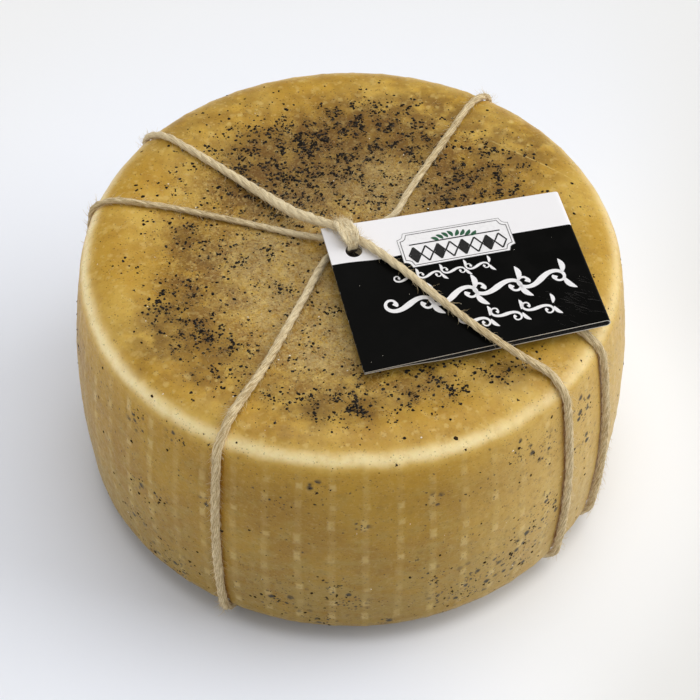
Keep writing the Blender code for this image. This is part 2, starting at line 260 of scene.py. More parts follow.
def turnedBy(rotation, axis, angle):
    # turned further about its own axis, 0, 1 or 2 for X, Y or Z
    euler = wire(angle.tree, "ShaderNodeCombineXYZ", {axis: angle})
    inputs = {"Rotation": rotation, "Rotate By": wire(angle.tree, "FunctionNodeEulerToRotation", {0: euler})}
    return wire(angle.tree, "FunctionNodeRotateRotation", inputs, rotation_space="LOCAL")


def makeTwistTree():
    # plies laid round a curve, each a tube; the plies' own curves keep the length and the angle round them
    tree, given = newTree("twistPlies", Int="Plies, Sides, Seed", Material="Material",
                          Float="Ply Radius, Lay Radius, Pitch, Step, Unevenness")
    inputs = {"Curve": given["Geometry"], "Length": given["Step"]}
    route = wire(tree, "GeometryNodeResampleCurve", inputs, mode="LENGTH")
    heading = wire(tree, "GeometryNodeInputTangent")
    inputs = {"Geometry": stored(route, "heading", heading, "FLOAT_VECTOR"), "Amount": given["Plies"]}
    copies = put(tree, "GeometryNodeDuplicateElements", inputs, domain="SPLINE").outputs
    share = Wire(copies["Duplicate Index"]) / given["Plies"]
    thickness = wire(tree, "GeometryNodeInputRadius")
    length = wire(tree, "GeometryNodeSplineParameter", None, "Length")
    angle = (length / given["Pitch"] + share) * (2 * math.pi)
    normal = wire(tree, "GeometryNodeInputNormal")
    sideways = vectors("CROSS_PRODUCT", heading, normal)
    outwards = vectors("ADD", vectors("SCALE", normal, scale=reckon("COSINE", angle)),
                       vectors("SCALE", sideways, scale=reckon("SINE", angle)))
    offset = vectors("SCALE", outwards, scale=given["Lay Radius"] * thickness)
    laid = wire(tree, "GeometryNodeSetPosition", {"Geometry": Wire(copies[0]), "Offset": offset})
    seed = wire(tree, "ShaderNodeCombineXYZ", {0: given["Seed"] * 7.3, 1: share, 2: 0.0})
    inputs = {"Vector": vectors("ADD", wire(tree, "GeometryNodeInputPosition"), seed),
              "Scale": 260.0, "Detail": 1.0}
    uneven = wire(tree, "ShaderNodeTexNoise", inputs, "Fac")
    radius = thickness * given["Ply Radius"] * scaled(uneven - 0.5, given["Unevenness"], 1.0)
    thick = wire(tree, "GeometryNodeSetCurveRadius", {"Curve": laid, "Radius": radius})
    inputs = {"Resolution": given["Sides"], "Radius": 1.0}
    ring = wire(tree, "GeometryNodeCurvePrimitiveCircle", inputs, mode="RADIUS")
    around = stored(ring, "around", wire(tree, "GeometryNodeInputPosition"), "FLOAT_VECTOR")
    inputs = {"Curve": stored(thick, "along", length + share), "Profile Curve": around,
              "Scale": wire(tree, "GeometryNodeInputRadius"), "Fill Caps": True}
    tubes = wire(tree, "GeometryNodeCurveToMesh", inputs)
    endTree(wire(tree, "GeometryNodeSetShadeSmooth", {"Geometry": tubes}), given["Material"])
    return tree


def makeScatterTree():
    # copies of a small shape strewn over a surface, thick where a named attribute and a clump noise are high
    tree, given = newTree("strew", Object="Shape", String="Where", Int="Seed", Material="Material",
                          Float="Per Square Metre, Clump Size, Clump Cut, Chain Size, Chain Share, "
                                "Smallest, Largest, Size Bias, Spin From, Spin To, Lean From, Lean To, "
                                "Crumple, Crumple Size")
    place, seed = wire(tree, "GeometryNodeInputPosition"), given["Seed"]
    inputs = {"Vector": place, "Scale": 1.0 / given["Clump Size"], "Detail": 2.0}
    clumps = wire(tree, "ShaderNodeTexNoise", inputs, "Fac")
    inputs = {"Value": clumps, "From Min": given["Clump Cut"], "From Max": given["Clump Cut"] + 0.18}
    factor = named(tree, given["Where"]) * wire(tree, "ShaderNodeMapRange", inputs)
    walls = cells(place, given["Chain Size"], "DISTANCE_TO_EDGE")
    factor = factor * (1.0 - between(walls, 0.05, 0.2) * given["Chain Share"])
    inputs = {"Mesh": given["Geometry"], "Density": factor * given["Per Square Metre"], "Seed": seed}
    points = put(tree, "GeometryNodeDistributePointsOnFaces", inputs, distribute_method="RANDOM").outputs
    inputs = {"Rotation": Wire(points["Rotation"]), "Vector": named(tree, "heading", "FLOAT_VECTOR")}
    turned = wire(tree, "FunctionNodeAlignRotationToVector", inputs, axis="X", pivot_axis="Z")
    turned = turnedBy(turned, 2, randomValue(given["Spin From"], given["Spin To"], seed))
    turned = turnedBy(turned, 1, randomValue(given["Lean From"], given["Lean To"], seed + 1.0))
    inputs = {"Value": randomValue(0.0, 1.0, seed + 2.0) ** given["Size Bias"], "To Min": given["Smallest"],
              "To Max": given["Largest"]}
    size = wire(tree, "ShaderNodeMapRange", inputs)
    shape = wire(tree, "GeometryNodeObjectInfo", {"Object": given["Shape"], "As Instance": True}, "Geometry")
    inputs = {"Points": Wire(points["Points"]), "Instance": shape, "Rotation": turned, "Scale": size}
    copies = wire(tree, "GeometryNodeInstanceOnPoints", inputs)
    real = wire(tree, "GeometryNodeRealizeInstances", {"Geometry": copies})
    inputs = {"Vector": place, "Scale": 1.0 / given["Crumple Size"], "Detail": 0.0}
    ripple = wire(tree, "ShaderNodeTexNoise", inputs, "Color")
    push = vectors("SCALE", vectors("SUBTRACT", ripple, (0.5, 0.5, 0.5)), scale=given["Crumple"])
    inputs = {"Geometry": real, "Offset": vectors("SCALE", push, scale=named(tree, "reach"))}
    endTree(wire(tree, "GeometryNodeSetPosition", inputs), given["Material"])
    return tree


twistTree = makeTwistTree()
scatterTree = makeScatterTree()
print("node trees built")

# the wheel's form, as the frame's solid has it
wheel = {
    "radius": 97.5 * mm,
    "height": 100.9 * mm,
    "bellyLevel": 49.0 * mm,
    "bellyBulge": 4.7 * mm,
    "topShoulder": (16.0 * mm, 10.0 * mm),  # inwards and downwards
    "bottomShoulder": (18.4 * mm, 14.0 * mm),
    "topSink": 0.6 * mm,
    "footInner": 57.0 * mm,
    "dishEdge": 50.0 * mm,
    "dishDepth": 3.9 * mm,
    "dishMiddle": 6.6 * mm,
    "wave": 0.3 * mm,
    "lines": 592,  # mesh lines round the side
    "lumps": 0.16 * mm,  # small unevenness of the rind
    "basketColumns": 53,  # the mould's imprint: columns of low pips
    "basketTurn": math.radians(-86.9),
    "basketPitch": 8.9 * mm,
    "basketStart": 6.0 * mm,  # below the top's edge
    "pipSize": (2.5 * mm, 4.0 * mm),
    "pipRise": 0.12 * mm,
}

strandAzimuths = {"A": 141.0, "B": 164.6, "C": 58.0, "D": -117.5, "E": -40.3, "F": -26.0}

twine = {
    "radius": 1.55 * mm,
    "gap": 0.3 * mm,
    "bite": 0.6 * mm,
    "grooveSlack": 0.5 * mm,
    "squeeze": 0.76,
    "tightSqueeze": 0.8,
    "undersideLevel": 1.85 * mm,
    "crossingLow": 1.55 * mm,
    "crossingHigh": 4.25 * mm,
    "plies": 3,
    "plyRadius": 0.99 * mm,
    "layRadius": 0.46 * mm,
    "pitch": 14.5 * mm,
    "step": 0.75 * mm,
    "sides": 10,
    "unevenness": 0.6,
    "seed": 4,
}


def sideRadius(z):
    return wheel["radius"] - wheel["bellyBulge"] * ((z - wheel["bellyLevel"]) / (wheel["height"] / 2)) ** 2


def topWave(x, y):
    sink = wheel["topSink"] * (1.0 - smooth(math.hypot(x, y) / wheel["radius"]))
    return wheel["wave"] * math.sin(x / (23 * mm) + 1.0) * math.cos(y / (19 * mm) - 0.4) - sink


def sideWave(angle, z):
    wave = 0.6 * math.sin(2 * angle + 0.6) + 0.4 * math.sin(5 * angle + 2.0)
    return wheel["wave"] * wave * smooth(z / wheel["bottomShoulder"][1])


def underside(r):
    inner, edge, deep, middle = (wheel[k] for k in ("footInner", "dishEdge", "dishDepth", "dishMiddle"))
    if r >= inner:
        return 0.0
    if r >= edge:
        return deep * smooth((inner - r) / (inner - edge))
    return deep + (middle - deep) * (1.0 - (r / edge) ** 2)


def wheelProfile(topRows, cornerRows, sideRows, footRows):
    # (radius, height, zone) from the top's middle, down the side and in over the underside
    height, (across, down) = wheel["height"], wheel["topShoulder"]
    topEdge = sideRadius(height - down) - across
    rows = [(topEdge * (k + 1) / (topRows + 1), height, "top") for k in range(topRows)]
    for k in range(cornerRows + 1):
        turn = math.pi / 2 * k / cornerRows
        rows.append((topEdge + across * math.sin(turn), height - down + down * math.cos(turn), "shoulder"))
    top, bottom = height - down, wheel["bottomShoulder"][1]
    for k in range(1, sideRows):
        z = top + (bottom - top) * k / sideRows
        rows.append((sideRadius(z), z, "side"))
    across, down = wheel["bottomShoulder"]
    footOuter = sideRadius(down) - across
    for k in range(cornerRows + 1):
        turn = math.pi / 2 * k / cornerRows
        rows.append((footOuter + across * math.cos(turn), down - down * math.sin(turn), "heel"))
    for k in range(1, footRows):
        r = footOuter * (1.0 - k / footRows)
        rows.append((r, underside(r), "foot"))
    return rows


def profileNormals(rows):
    found = []
    for k, (r, z, zone) in enumerate(rows):
        before, after = rows[max(k - 1, 0)], rows[min(k + 1, len(rows) - 1)]
        along = Vector((after[0] - before[0], after[1] - before[1])).normalized()
        flat = {"top": (0.0, 1.0), "foot": (0.0, -1.0)}
        found.append(flat.get(zone, (-along[1], along[0])))
    return found


def twineOffset(z, normal, zone):
    # distance of the twine's middle outwards from the undented surface
    onTop = twine["radius"] + twine["gap"]
    if zone == "top":
        return onTop
    if zone == "foot":
        return z - twine["undersideLevel"]
    if zone == "shoulder":
        return onTop - twine["bite"] * smooth(2.5 * (wheel["height"] - z) / wheel["topShoulder"][1])
    if zone == "heel" and normal[1] < -0.05:
        return min(onTop - twine["bite"], (z - twine["undersideLevel"]) / -normal[1])
    return onTop - twine["bite"]


def dent(reach, offset, zone):
    # depth pressed into the rind at a distance beside a strand's middle
    clear = twine["radius"] + twine["gap"] + (twine["grooveSlack"] if zone in ("heel", "foot") else 0.0)
    if reach >= clear:
        return 0.0
    return max(0.0, math.sqrt(clear**2 - reach**2) - offset)


# where the rind's marks lie
marks = {
    "scratch": ((49.0, 53.0), (80.0, 33.0)),  # a pale line on the top, from and to, in mm
    # underHole: where a painted shadow darkens the rind, seen through the tag's hole
    "underHole": (1.2, -2.2),  # the dark place seen through the tag's hole, in mm
    # black mould on the top: (x, y, reach, strength), in mm
    "mould": ((-22, 44, 15, 0.9), (-6, 50, 15, 0.9), (-9, 37, 9, 0.9), (12, 58, 13, 0.6), (-4, 66, 9, 0.4),
              (25, 50, 10, 0.6), (-34, 32, 12, 0.8), (-37, 48, 10, 0.7), (7, 27, 12, 0.4),
              (42, 35, 13, 0.75), (57, 25, 10, 0.4), (58, 44, 10, 0.3), (29, 23, 9, 0.7),
              (-18, 22, 10, 0.8), (-57, 6, 6, 0.9), (1, -8, 5, 1.0), (-50, -4, 7, 0.3), (-66, -32, 7, 0.7),
              (-58, -21, 8, 0.6), (-53, -38, 9, 0.9), (-43, -47, 7, 0.8), (-60, -48, 7, 0.5),
              (-51, -57, 6, 0.5), (-27, -63, 6, 0.5), (-12, -72, 7, 0.9), (4, -72, 7, 1.0),
              (19, -66, 6, 0.6), (26, -58, 6, 1.0), (32, -67, 6, 0.5), (54, -57, 7, 0.7),
              (41, -60, 7, 0.4), (-2, -61, 7, 0.4), (-25, -18, 6, 0.4), (-32, 0, 8, 0.4),
              (-14, -28, 8, 0.3), (77, 3, 5, 0.4)),
    # brown stains on the top
    "stain": ((1, -8, 6, 1.0), (-52, -18, 15, 0.9), (-65, -42, 12, 0.9), (-17, -70, 15, 0.8),
              (-52, 0, 10, 0.8), (-44, -56, 12, 0.8), (34, 30, 16, 0.9), (48, 56, 14, 0.6),
              (-35, 24, 14, 0.9), (62, 40, 14, 0.6), (10, -60, 16, 0.8), (50, -50, 12, 0.7),
              (0, 57, 25, 1.0), (-20, 34, 20, 0.8), (28, 67, 15, 0.8), (-62, 58, 16, 0.6),
              (-40, 72, 12, 0.4), (66, 52, 12, 0.5)),
    # grey-tan dusty bloom
    "bloom": ((-9, -32, 13, 1.0), (-8, -46, 12, 1.0), (-20, -42, 11, 0.9), (2, 31, 13, 0.8),
              (8, 24, 10, 0.9), (-28, 2, 14, 0.8), (-14, -12, 16, 1.0), (-40, -8, 9, 0.3),
              (24, 26, 12, 0.6), (-22, 20, 12, 0.7), (-30, -26, 14, 0.7), (12, 36, 9, 0.7)),
    # dark mould on the side: (azimuth in degrees, height in mm, reach in mm, strength)
    "sideMould": ((-53, 85, 4, 0.9), (-47, 78, 5, 0.8), (-46, 44, 7, 0.9), (-51, 36, 7, 1.0),
                  (-53, 26, 7, 1.0), (-64, 22, 6, 0.8), (-70, 22, 5, 0.6), (-78, 48, 4, 0.5),
                  (-74, 36, 5, 0.6), (-73, 78, 3, 0.7), (-90, 26, 5, 0.5), (-93, 34, 5, 0.6),
                  (-88, 70, 3, 0.6), (-139, 84, 5, 0.6), (-128, 90, 4, 0.5), (-139, 52, 4, 0.6),
                  (-132, 53, 4, 0.5), (-141, 30, 4, 0.5), (-131, 14, 5, 0.9), (-137, 16, 3, 0.9),
                  (-120, 66, 4, 0.4), (-105, 78, 3, 0.9), (-97, 88, 3, 0.6), (-106, 22, 5, 0.7),
                  (-34, 80, 6, 0.9), (-33, 60, 6, 0.6), (-95, 12, 3, 0.7), (-83, 12, 3, 0.6),
                  (20, 40, 8, 0.6), (60, 60, 6, 0.6), (100, 30, 8, 0.6), (130, 70, 6, 0.6),
                  (165, 40, 7, 0.6), (-170, 70, 5, 0.6), (-60, 30, 22, 0.28), (-100, 22, 22, 0.22),
                  (-132, 22, 20, 0.2), (-50, 70, 18, 0.15)),
}


def nearPatches(x, y, patches):
    total = 0.0
    for px, py, reach, strength in patches:
        away = math.hypot(x - px, y - py) / reach
        if away < 2.5:
            total += strength * math.exp(-away * away)
    return min(total, 1.0)


def sideMouldAt(degrees, r, z):
    total = 0.0
    for azimuth, level, reach, strength in marks["sideMould"]:
        turn = (degrees - azimuth + 180.0) % 360.0 - 180.0
        away = math.hypot(math.radians(turn) * r / mm, z / mm - level) / reach
        if away < 2.5:
            total += strength * math.exp(-away * away)
    return min(total, 1.0)


def basketRelief(angle, arc, firstArc, lastArc):
    # 0 to 1: the low pips that the basket leaves, in columns
    step, pitch = 2 * math.pi / wheel["basketColumns"], wheel["basketPitch"]
    column = (angle - wheel["basketTurn"]) / step
    row = (arc - firstArc) / pitch
    if row < -0.5 or arc > lastArc:
        return 0.0
    across = abs(column - round(column)) * step * wheel["radius"] / (wheel["pipSize"][0] / 2)
    upwards = abs(row - round(row)) * pitch / (wheel["pipSize"][1] / 2)
    return 1.0 - smooth((max(across, upwards) - 0.6) / 0.8)


def makeWheel(mat):
    rows = wheelProfile(topRows=46, cornerRows=16, sideRows=58, footRows=34)
    normals = profileNormals(rows)
    lines = wheel["lines"]
    counts = [lines if r > 42 * mm else (lines // 2 if r > 20 * mm else lines // 4) for r, z, zone in rows]
    counts = [min(count, lines // 2) if row[2] == "foot" else count for count, row in zip(counts, rows)]
    arcs = [rows[0][0]]
    for before, after in zip(rows, rows[1:]):
        arcs.append(arcs[-1] + math.hypot(after[0] - before[0], after[1] - before[1]))
    edgeArc = next(a for a, row in zip(arcs, rows) if row[2] == "shoulder")
    lastArc = next(a for a, row in zip(arcs, rows) if row[1] < 3 * mm)
    vertices, starts = [], []
    fields = {"arc": [], "mould": [], "stain": [], "bloom": [], "pressed": [], "shaded": []}
    for (r, z, zone), normal, arc, count in zip(rows, normals, arcs, counts):
        starts.append(len(vertices))
        offset = twineOffset(z, normal, zone)
        for k in range(count):
            angle = 2 * math.pi * k / count
            degrees = math.degrees(angle)
            x, y = r * math.cos(angle), r * math.sin(angle)
            near = min(abs((degrees - s + 180.0) % 360.0 - 180.0) for s in strandAzimuths.values())
            depth = 0.0
            if near < 20.0 and zone != "top":
                depth = dent(r * math.sin(math.radians(near)), offset, zone)
            pip = basketRelief(angle, arc, edgeArc + wheel["basketStart"], lastArc)
            lump = wheel["lumps"] * (softNoise(x, y, z, 9 * mm) + 0.45 * softNoise(x, y, z, 3.2 * mm))
            if zone == "foot" or z < 1 * mm:
                lump = pip = 0.0
            wide = r + sideWave(angle, z) * abs(normal[0])
            x, y = wide * math.cos(angle), wide * math.sin(angle)
            if zone in ("top", "shoulder"):
                belly = wheel["bellyLevel"]
                z1 = z + topWave(x, y) * smooth((z - belly) / (wheel["height"] - belly))
            else:
                z1 = z
            out = lump + pip * wheel["pipRise"] - depth
            ux, uy = math.cos(angle) * normal[0], math.sin(angle) * normal[0]
            vertices.append((x + ux * out, y + uy * out, z1 + normal[1] * out))
            isTop = zone == "top" or z > wheel["height"] - 4 * mm
            fields["arc"].append(arc / mm)
            for name in ("mould", "stain", "bloom"):
                fields[name].append(nearPatches(x / mm, y / mm, marks[name]) if isTop else 0.0)
            if not isTop:
                fields["mould"][-1] = sideMouldAt(degrees, r, z)
            # a painted shadow on the top, under the tag's hole
            fromHole = math.dist((x / mm, y / mm), marks["underHole"]) / 5.2
            fields["shaded"].append(math.exp(-(fromHole**4)) if isTop else 0.0)
            # how near a strand is on the side, for the painted shade beside it
            beside = r * math.radians(near) / (3.6 * mm)
            fields["pressed"].append(0.0 if zone == "top" else 1.0 - smooth(beside))
    faces = []
    for ring in range(len(rows) - 1):
        a, b, na, nb = starts[ring], starts[ring + 1], counts[ring], counts[ring + 1]
        if na == nb:
            faces += [(a + k, b + k, b + (k + 1) % nb, a + (k + 1) % na) for k in range(na)]
        elif nb == 2 * na:
            for k in range(na):
                here, beside = a + k, a + (k + 1) % na
                left, middle, right = b + 2 * k, b + 2 * k + 1, b + (2 * k + 2) % nb
                faces += [(here, left, middle), (here, middle, beside), (beside, middle, right)]
        else:
            for k in range(nb):
                here, beside = b + k, b + (k + 1) % nb
                left, middle, right = a + 2 * k, a + 2 * k + 1, a + (2 * k + 2) % na
                faces += [(left, here, middle), (middle, here, beside), (middle, beside, right)]
    top = len(vertices)
    vertices += [(0.0, 0.0, wheel["height"] + topWave(0.0, 0.0)), (0.0, 0.0, underside(0.0))]
    for name in fields:
        fields[name] += [fields[name][0], fields[name][-1]]
    first, last = counts[0], counts[-1]
    faces += [(top, k, (k + 1) % first) for k in range(first)]
    faces += [(top + 1, starts[-1] + (k + 1) % last, starts[-1] + k) for k in range(last)]
    thing = meshObject("wheel_rind", vertices, faces, [mat])
    for name, values in fields.items():
        pointAttribute(thing.data, name, values)
    return thing


rindLook = {
    "gold": paint(186, 145, 49),
    "paleGold": paint(200, 163, 72),
    "amber": paint(142, 95, 11),
    "stain": paint(104, 69, 13),
    "bloom": paint(176, 151, 98),
    "grime": paint(88, 58, 9),
    "curd": paint(214, 185, 112),
    # the crest: partly pale rubbed rind, partly a painted highlight; then a painted soft highlight beside it
    "shoulder": paint(254, 242, 196),
    "glow": paint(240, 209, 130),
    "goldSide": paint(187, 144, 34),
    "side": paint(174, 135, 33),
    "sideDeep": paint(154, 114, 20),
    "sideDusty": paint(167, 137, 57),
    # painted light: the side paler towards the right, where the lamp falls
    "sidePale": paint(212, 180, 108),
    # painted shade: the side darker towards the bottom
    "sideLow": paint(98, 76, 32),
    # painted contact shade beside the twine
    "pressed": paint(140, 86, 20),
    "pip": paint(216, 190, 124),
    "smudge": paint(34, 28, 22),
    "speck": paint(40, 32, 23),
    # painted shadow seen through the tag's hole
    "underTag": paint(15, 11, 8),
    "Roughness": 0.42,
    "Specular_IOR_Level": 0.3,
    "Subsurface_Weight": 0.15,
    "Subsurface_Scale": 1.8 * mm,
}


mouldLook = {
    "colour": paint(30, 27, 24),
    "greyer": paint(60, 54, 48),
    "sideColour": paint(52, 40, 27),
    "sideGreyer": paint(80, 67, 48),
    "Roughness": 0.9,
    "Specular_IOR_Level": 0.05,
    "clump": 3.4 * mm,  # the size of the clumps, and the level of their noise where they begin
    "clumpCut": 0.46,
    "chain": 3.6 * mm,  # the cells whose walls the flecks gather along
}


def basketPips(place, arc, edge):
    # the imprint's pale pips: which column and row, how far from the pip's middle, how strong it is
    split = parts(place)
    step, pitch = 2 * math.pi / wheel["basketColumns"], wheel["basketPitch"] / mm
    column = (reckon("ARCTAN2", split[1], split[0]) - wheel["basketTurn"]) / step
    row = (arc - (edge + wheel["basketStart"] / mm)) / pitch
    middle, level = reckon("ROUND", column), reckon("ROUND", row)
    wrapped = reckon("FLOORED_MODULO", middle, wheel["basketColumns"])
    spot = wire(place.tree, "ShaderNodeCombineXYZ", {0: wrapped, 1: level})
    chance = wire(place.tree, "ShaderNodeTexWhiteNoise", {0: spot}, "Color", noise_dimensions="3D")
    luck = parts(chance, "Color")
    ragged = grain(place, 1.1 * mm, shift=23.0) - 0.5
    fromColumn = (column - middle) * (step * wheel["radius"] / mm)
    across = fromColumn + (luck[0] - 0.5) + ragged
    upwards = (row - level) * pitch + (luck[1] - 0.5) + ragged
    upwards = upwards / scaled(luck[0], 0.9, 0.6)  # some short, some long
    away = (abs(gap) / (size / 2 / mm) for gap, size in zip((across, upwards), wheel["pipSize"]))
    inside = between(reckon("MAXIMUM", *away), 1.4, 0.45) * between(row, -0.6, -0.4)
    worn = between(grain(place, 2.6 * mm, rough=0.6, shift=27.0), 0.28, 0.5, 0.45, 1.0)
    stripe = between(abs(fromColumn), 1.9, 0.4) * 0.24
    pips = inside * worn * between(luck[2], 0.05, 0.95, 0.35, 1.0)
    lost = between(grain(place, 16 * mm, shift=51.0), 0.36, 0.56, 0.55, 1.0)
    return reckon("MAXIMUM", pips, stripe * worn) * lost


def scratchShare(place):
    # a fine straight scratch on the top
    (x0, y0), (x1, y1) = marks["scratch"]
    length = math.hypot(x1 - x0, y1 - y0)
    run = ((x1 - x0) / length, (y1 - y0) / length, 0.0)
    away = vectors("SUBTRACT", place, (x0 * mm, y0 * mm, 0.0))
    onward = vectors("DOT_PRODUCT", away, run, output="Value")
    sideways = vectors("DOT_PRODUCT", away, (run[1], -run[0], 0.0), output="Value")
    inside = between(onward, 0.0, 3 * mm) * between(onward, length * mm, length * mm - 4 * mm)
    broken = between(grain(place, 2 * mm, shift=61.0), 0.35, 0.55, 0.3, 1.0)
    return between(abs(sideways), 0.4 * mm, 0.12 * mm) * inside * broken


def topPaint(place, arc, edge, mould):
    # gold, blotched with amber, stained and dusted, with pale curd grains, dark pores and soft mould, and a
    # painted shadow under the tag's hole
    look, tree = rindLook, place.tree
    inner = between(arc, edge - 1.0, edge - 26.0)
    gold = layer(between(grain(place, 24 * mm, detail=2.0), 0.38, 0.62), look["gold"], look["paleGold"])
    blotch = grain(place, 8 * mm, detail=4.0, rough=0.6, shift=3.1)
    soaked = between(grain(place, 6 * mm, shift=1.7), 0.3, 0.6)
    fluff = grain(place, 1.9 * mm, detail=5.0, rough=0.75, shift=5.0)
    curdy = between(cells(place, 1.9 * mm), 0.34, 0.12)
    curdy = curdy * between(grain(place, 3 * mm, shift=11.0), 0.47, 0.6)
    milky = between(grain(place, 3.4 * mm, detail=2.0, shift=37.0), 0.54, 0.72)
    fine = grain(place, 0.8 * mm, rough=0.7, shift=2.0)
    murk = grain(place, mouldLook["clump"], detail=2.0, rough=0.5)  # the clumps that the flecks lie in
    murky = between(murk, mouldLook["clumpCut"] - 0.02, mouldLook["clumpCut"] + 0.2)
    cores = between(grain(place, 1.5 * mm, detail=4.0, rough=0.7, shift=71.0), 0.56, 0.65)
    colour = painted(gold, look, (
        ("amber", between(blotch, 0.44, 0.66) * scaled(inner, 0.4, 0.28)),
        ("stain", attribute(tree, "stain") * soaked * 0.75),
        ("stain", inner * between(blotch, 0.36, 0.56, 0.4, 1.0) * 0.42),
        ("bloom", attribute(tree, "bloom") * between(fluff, 0.34, 0.62) * 0.85),
        ("curd", curdy * scaled(inner, 0.3, 0.22)),
        ("curd", milky * 0.36),
        ("curd", blots(place, 3.6 * mm, 0.5 * mm, 1.5 * mm) * 0.42),
        ("stain", blots(place, 1.9 * mm, 0.16 * mm, 0.45 * mm) * 0.75),
        ("curd", between(fine, 0.52, 0.66) * scaled(inner, 0.28, 0.07)),
        ("stain", between(fine, 0.47, 0.36) * scaled(inner, 0.42, 0.1)),
        ("grime", between(mould, 0.02, 0.9) * scaled(murky, 0.3, 0.45)),
        ("speck", cores * between(murky, 0.3, 0.9) * between(mould, 0.1, 0.8, 0.0, 0.85)),
        # the painted shadow under the tag's hole
        ("underTag", attribute(tree, "shaded") * 0.97),
        ("curd", scratchShare(place) * 0.5)))
    return colour, fine, fluff, curdy


def sidePaint(place, arc, edge, mould, fine, pips):
    # golden under the shoulder, olive and then dusty below, with pale pips and dark blots; painted light
    # towards the right, painted shade towards the bottom and beside the strands
    look = rindLook
    broad = between(grain(place, 26 * mm, shift=14.0), 0.36, 0.64, 0.0, 0.8)
    dusty = grain(place, 7 * mm, detail=4.0, rough=0.6, stretch=(1.0, 1.0, 1.6), shift=21.0)
    dustier = dusty + between(arc, edge + 24.0, edge + 100.0, -0.08, 0.12)
    mottle = grain(place, 2.6 * mm, detail=5.0, rough=0.62, stretch=(1.0, 1.0, 0.8), shift=7.0)
    streaks = grain(place, 1.2 * mm, detail=4.0, rough=0.65, stretch=(0.6, 0.6, 1.7), shift=7.0)
    large = blots(place, 3.4 * mm, 0.5 * mm, 1.7 * mm, 1.5) * between(mould, 0.06, 0.4, 0.1, 1.0)
    medium = blots(place, 1.9 * mm, 0.25 * mm, 0.8 * mm, 2.0) * between(mould, 0.1, 0.5)
    small = blots(place, 2.3 * mm, 0.2 * mm, 0.6 * mm) * between(mould, 0.0, 0.25, 0.75, 1.0)
    spots = reckon("MAXIMUM", reckon("MAXIMUM", large, medium), small)
    flank = painted(layer(broad, look["side"], look["sideDeep"]), look, (
        ("sideDusty", between(dustier, 0.42, 0.68) * 0.85),
        ("goldSide", between(arc, edge + 34.0, edge + 18.0) * 0.8),
        # painted light on the right of the side
        ("sidePale", between(parts(place)[0], 22 * mm, 74 * mm) * 0.5),
        ("sideDeep", between(mottle, 0.48, 0.34) * 0.3),
        ("pip", between(mottle, 0.54, 0.72) * 0.16),
        ("sideDeep", between(streaks, 0.46, 0.34) * 0.2),
        ("pip", between(streaks, 0.56, 0.7) * 0.2),
        ("pip", between(fine, 0.54, 0.68) * 0.14),
        # painted shade towards the bottom of the side
        ("sideLow", between(arc, edge + 44.0, edge + 100.0) * 0.24),
        ("pip", pips * 0.52),
        ("smudge", spots * 0.93),
        # painted contact shade beside the strands
        ("pressed", attribute(place.tree, "pressed") * 0.75)))
    return flank, streaks


def crestPaleAndHighlight(place, arc, edge):
    # how pale the crest of the shoulder is, partly rubbed pale rind and partly a painted highlight, and how
    # bright the painted soft highlight beside it; less so at the back and on the right
    split = parts(place)
    crest = arc + grain(place, 9 * mm, shift=29.0) * 2.4
    crest = scaled(abs(split[0]), -26.0, crest)  # lower on the left and right
    peak = between(crest, edge + 10.4, edge + 14.4) * between(crest, edge + 17.6, edge + 14.4)
    soft = between(crest, edge + 8.5, edge + 13.8) * between(crest, edge + 20.5, edge + 14.0)
    patchy = between(grain(place, 5 * mm, detail=4.0, rough=0.65, shift=17.0), 0.3, 0.56, 0.7, 1.0)
    # the painted highlight is weaker at the back, and on the right where the lamp's own sheen already lies
    turned = between(split[1], 12 * mm, 60 * mm, 1.0, 0.12) * between(split[0], 34 * mm, 66 * mm, 1.0, 0.5)
    strength = patchy * turned
    return peak * strength, soft * strength


def makeRindMaterial(edge):
    # edge: where the flat top ends, in mm along the profile
    mat, shader, place = newMaterial("rind", **rindLook)
    shader.inputs["Subsurface Radius"].default_value = (1.0, 0.5, 0.15)
    arc, mould = attribute(place.tree, "arc"), attribute(place.tree, "mould")
    onSide = between(arc, edge + 12.0, edge + 22.0)
    pips = basketPips(place, arc, edge)
    top, fine, fluff, curdy = topPaint(place, arc, edge, mould)
    flank, streaks = sidePaint(place, arc, edge, mould, fine, pips)
    # pale: the crest's rubbed pale rind with a painted highlight; the other: a painted soft highlight beside
    # it
    pale, glow = crestPaleAndHighlight(place, arc, edge)
    # the finest dark dots, loose and in chains round the grains
    dots = between(cells(place, 1.1 * mm), 0.3, 0.15)
    dotty = between(grain(place, 3 * mm, detail=4.0, rough=0.7, shift=4.4), 0.44, 0.58)
    chains = between(cells(place, mouldLook["chain"], "DISTANCE_TO_EDGE"), 0.17, 0.05)
    lively = between(arc, edge + 6.0, edge - 14.0, 0.4, 0.85) + mould * scaled(chains, 1.4, 0.3)
    freckles = reckon("MINIMUM", dots * dotty * lively, 0.85)
    # laid over the rind: the painted soft highlight, the pale crest with its painted highlight, then the
    # dark freckles
    coats = (("glow", glow * 0.6), ("shoulder", pale * 0.56), ("speck", freckles))
    join(painted(layer(onSide, top, flank), rindLook, coats), shader, "Base Color")
    join(between(fluff, 0.3, 0.7, 0.32, 0.54) - pale * 0.14, shader, "Roughness")
    # relief too fine for the mesh
    height = fine * scaled(between(arc, edge - 1.0, edge - 26.0), 0.35, 0.12) + curdy * 0.3
    height = height + streaks * onSide * 0.35 + pips * onSide * 0.6
    height = height + grain(place, 3.0 * mm, detail=2.0, shift=43.0) * 0.7
    bump(shader, height, 0.18 * mm)
    return mat


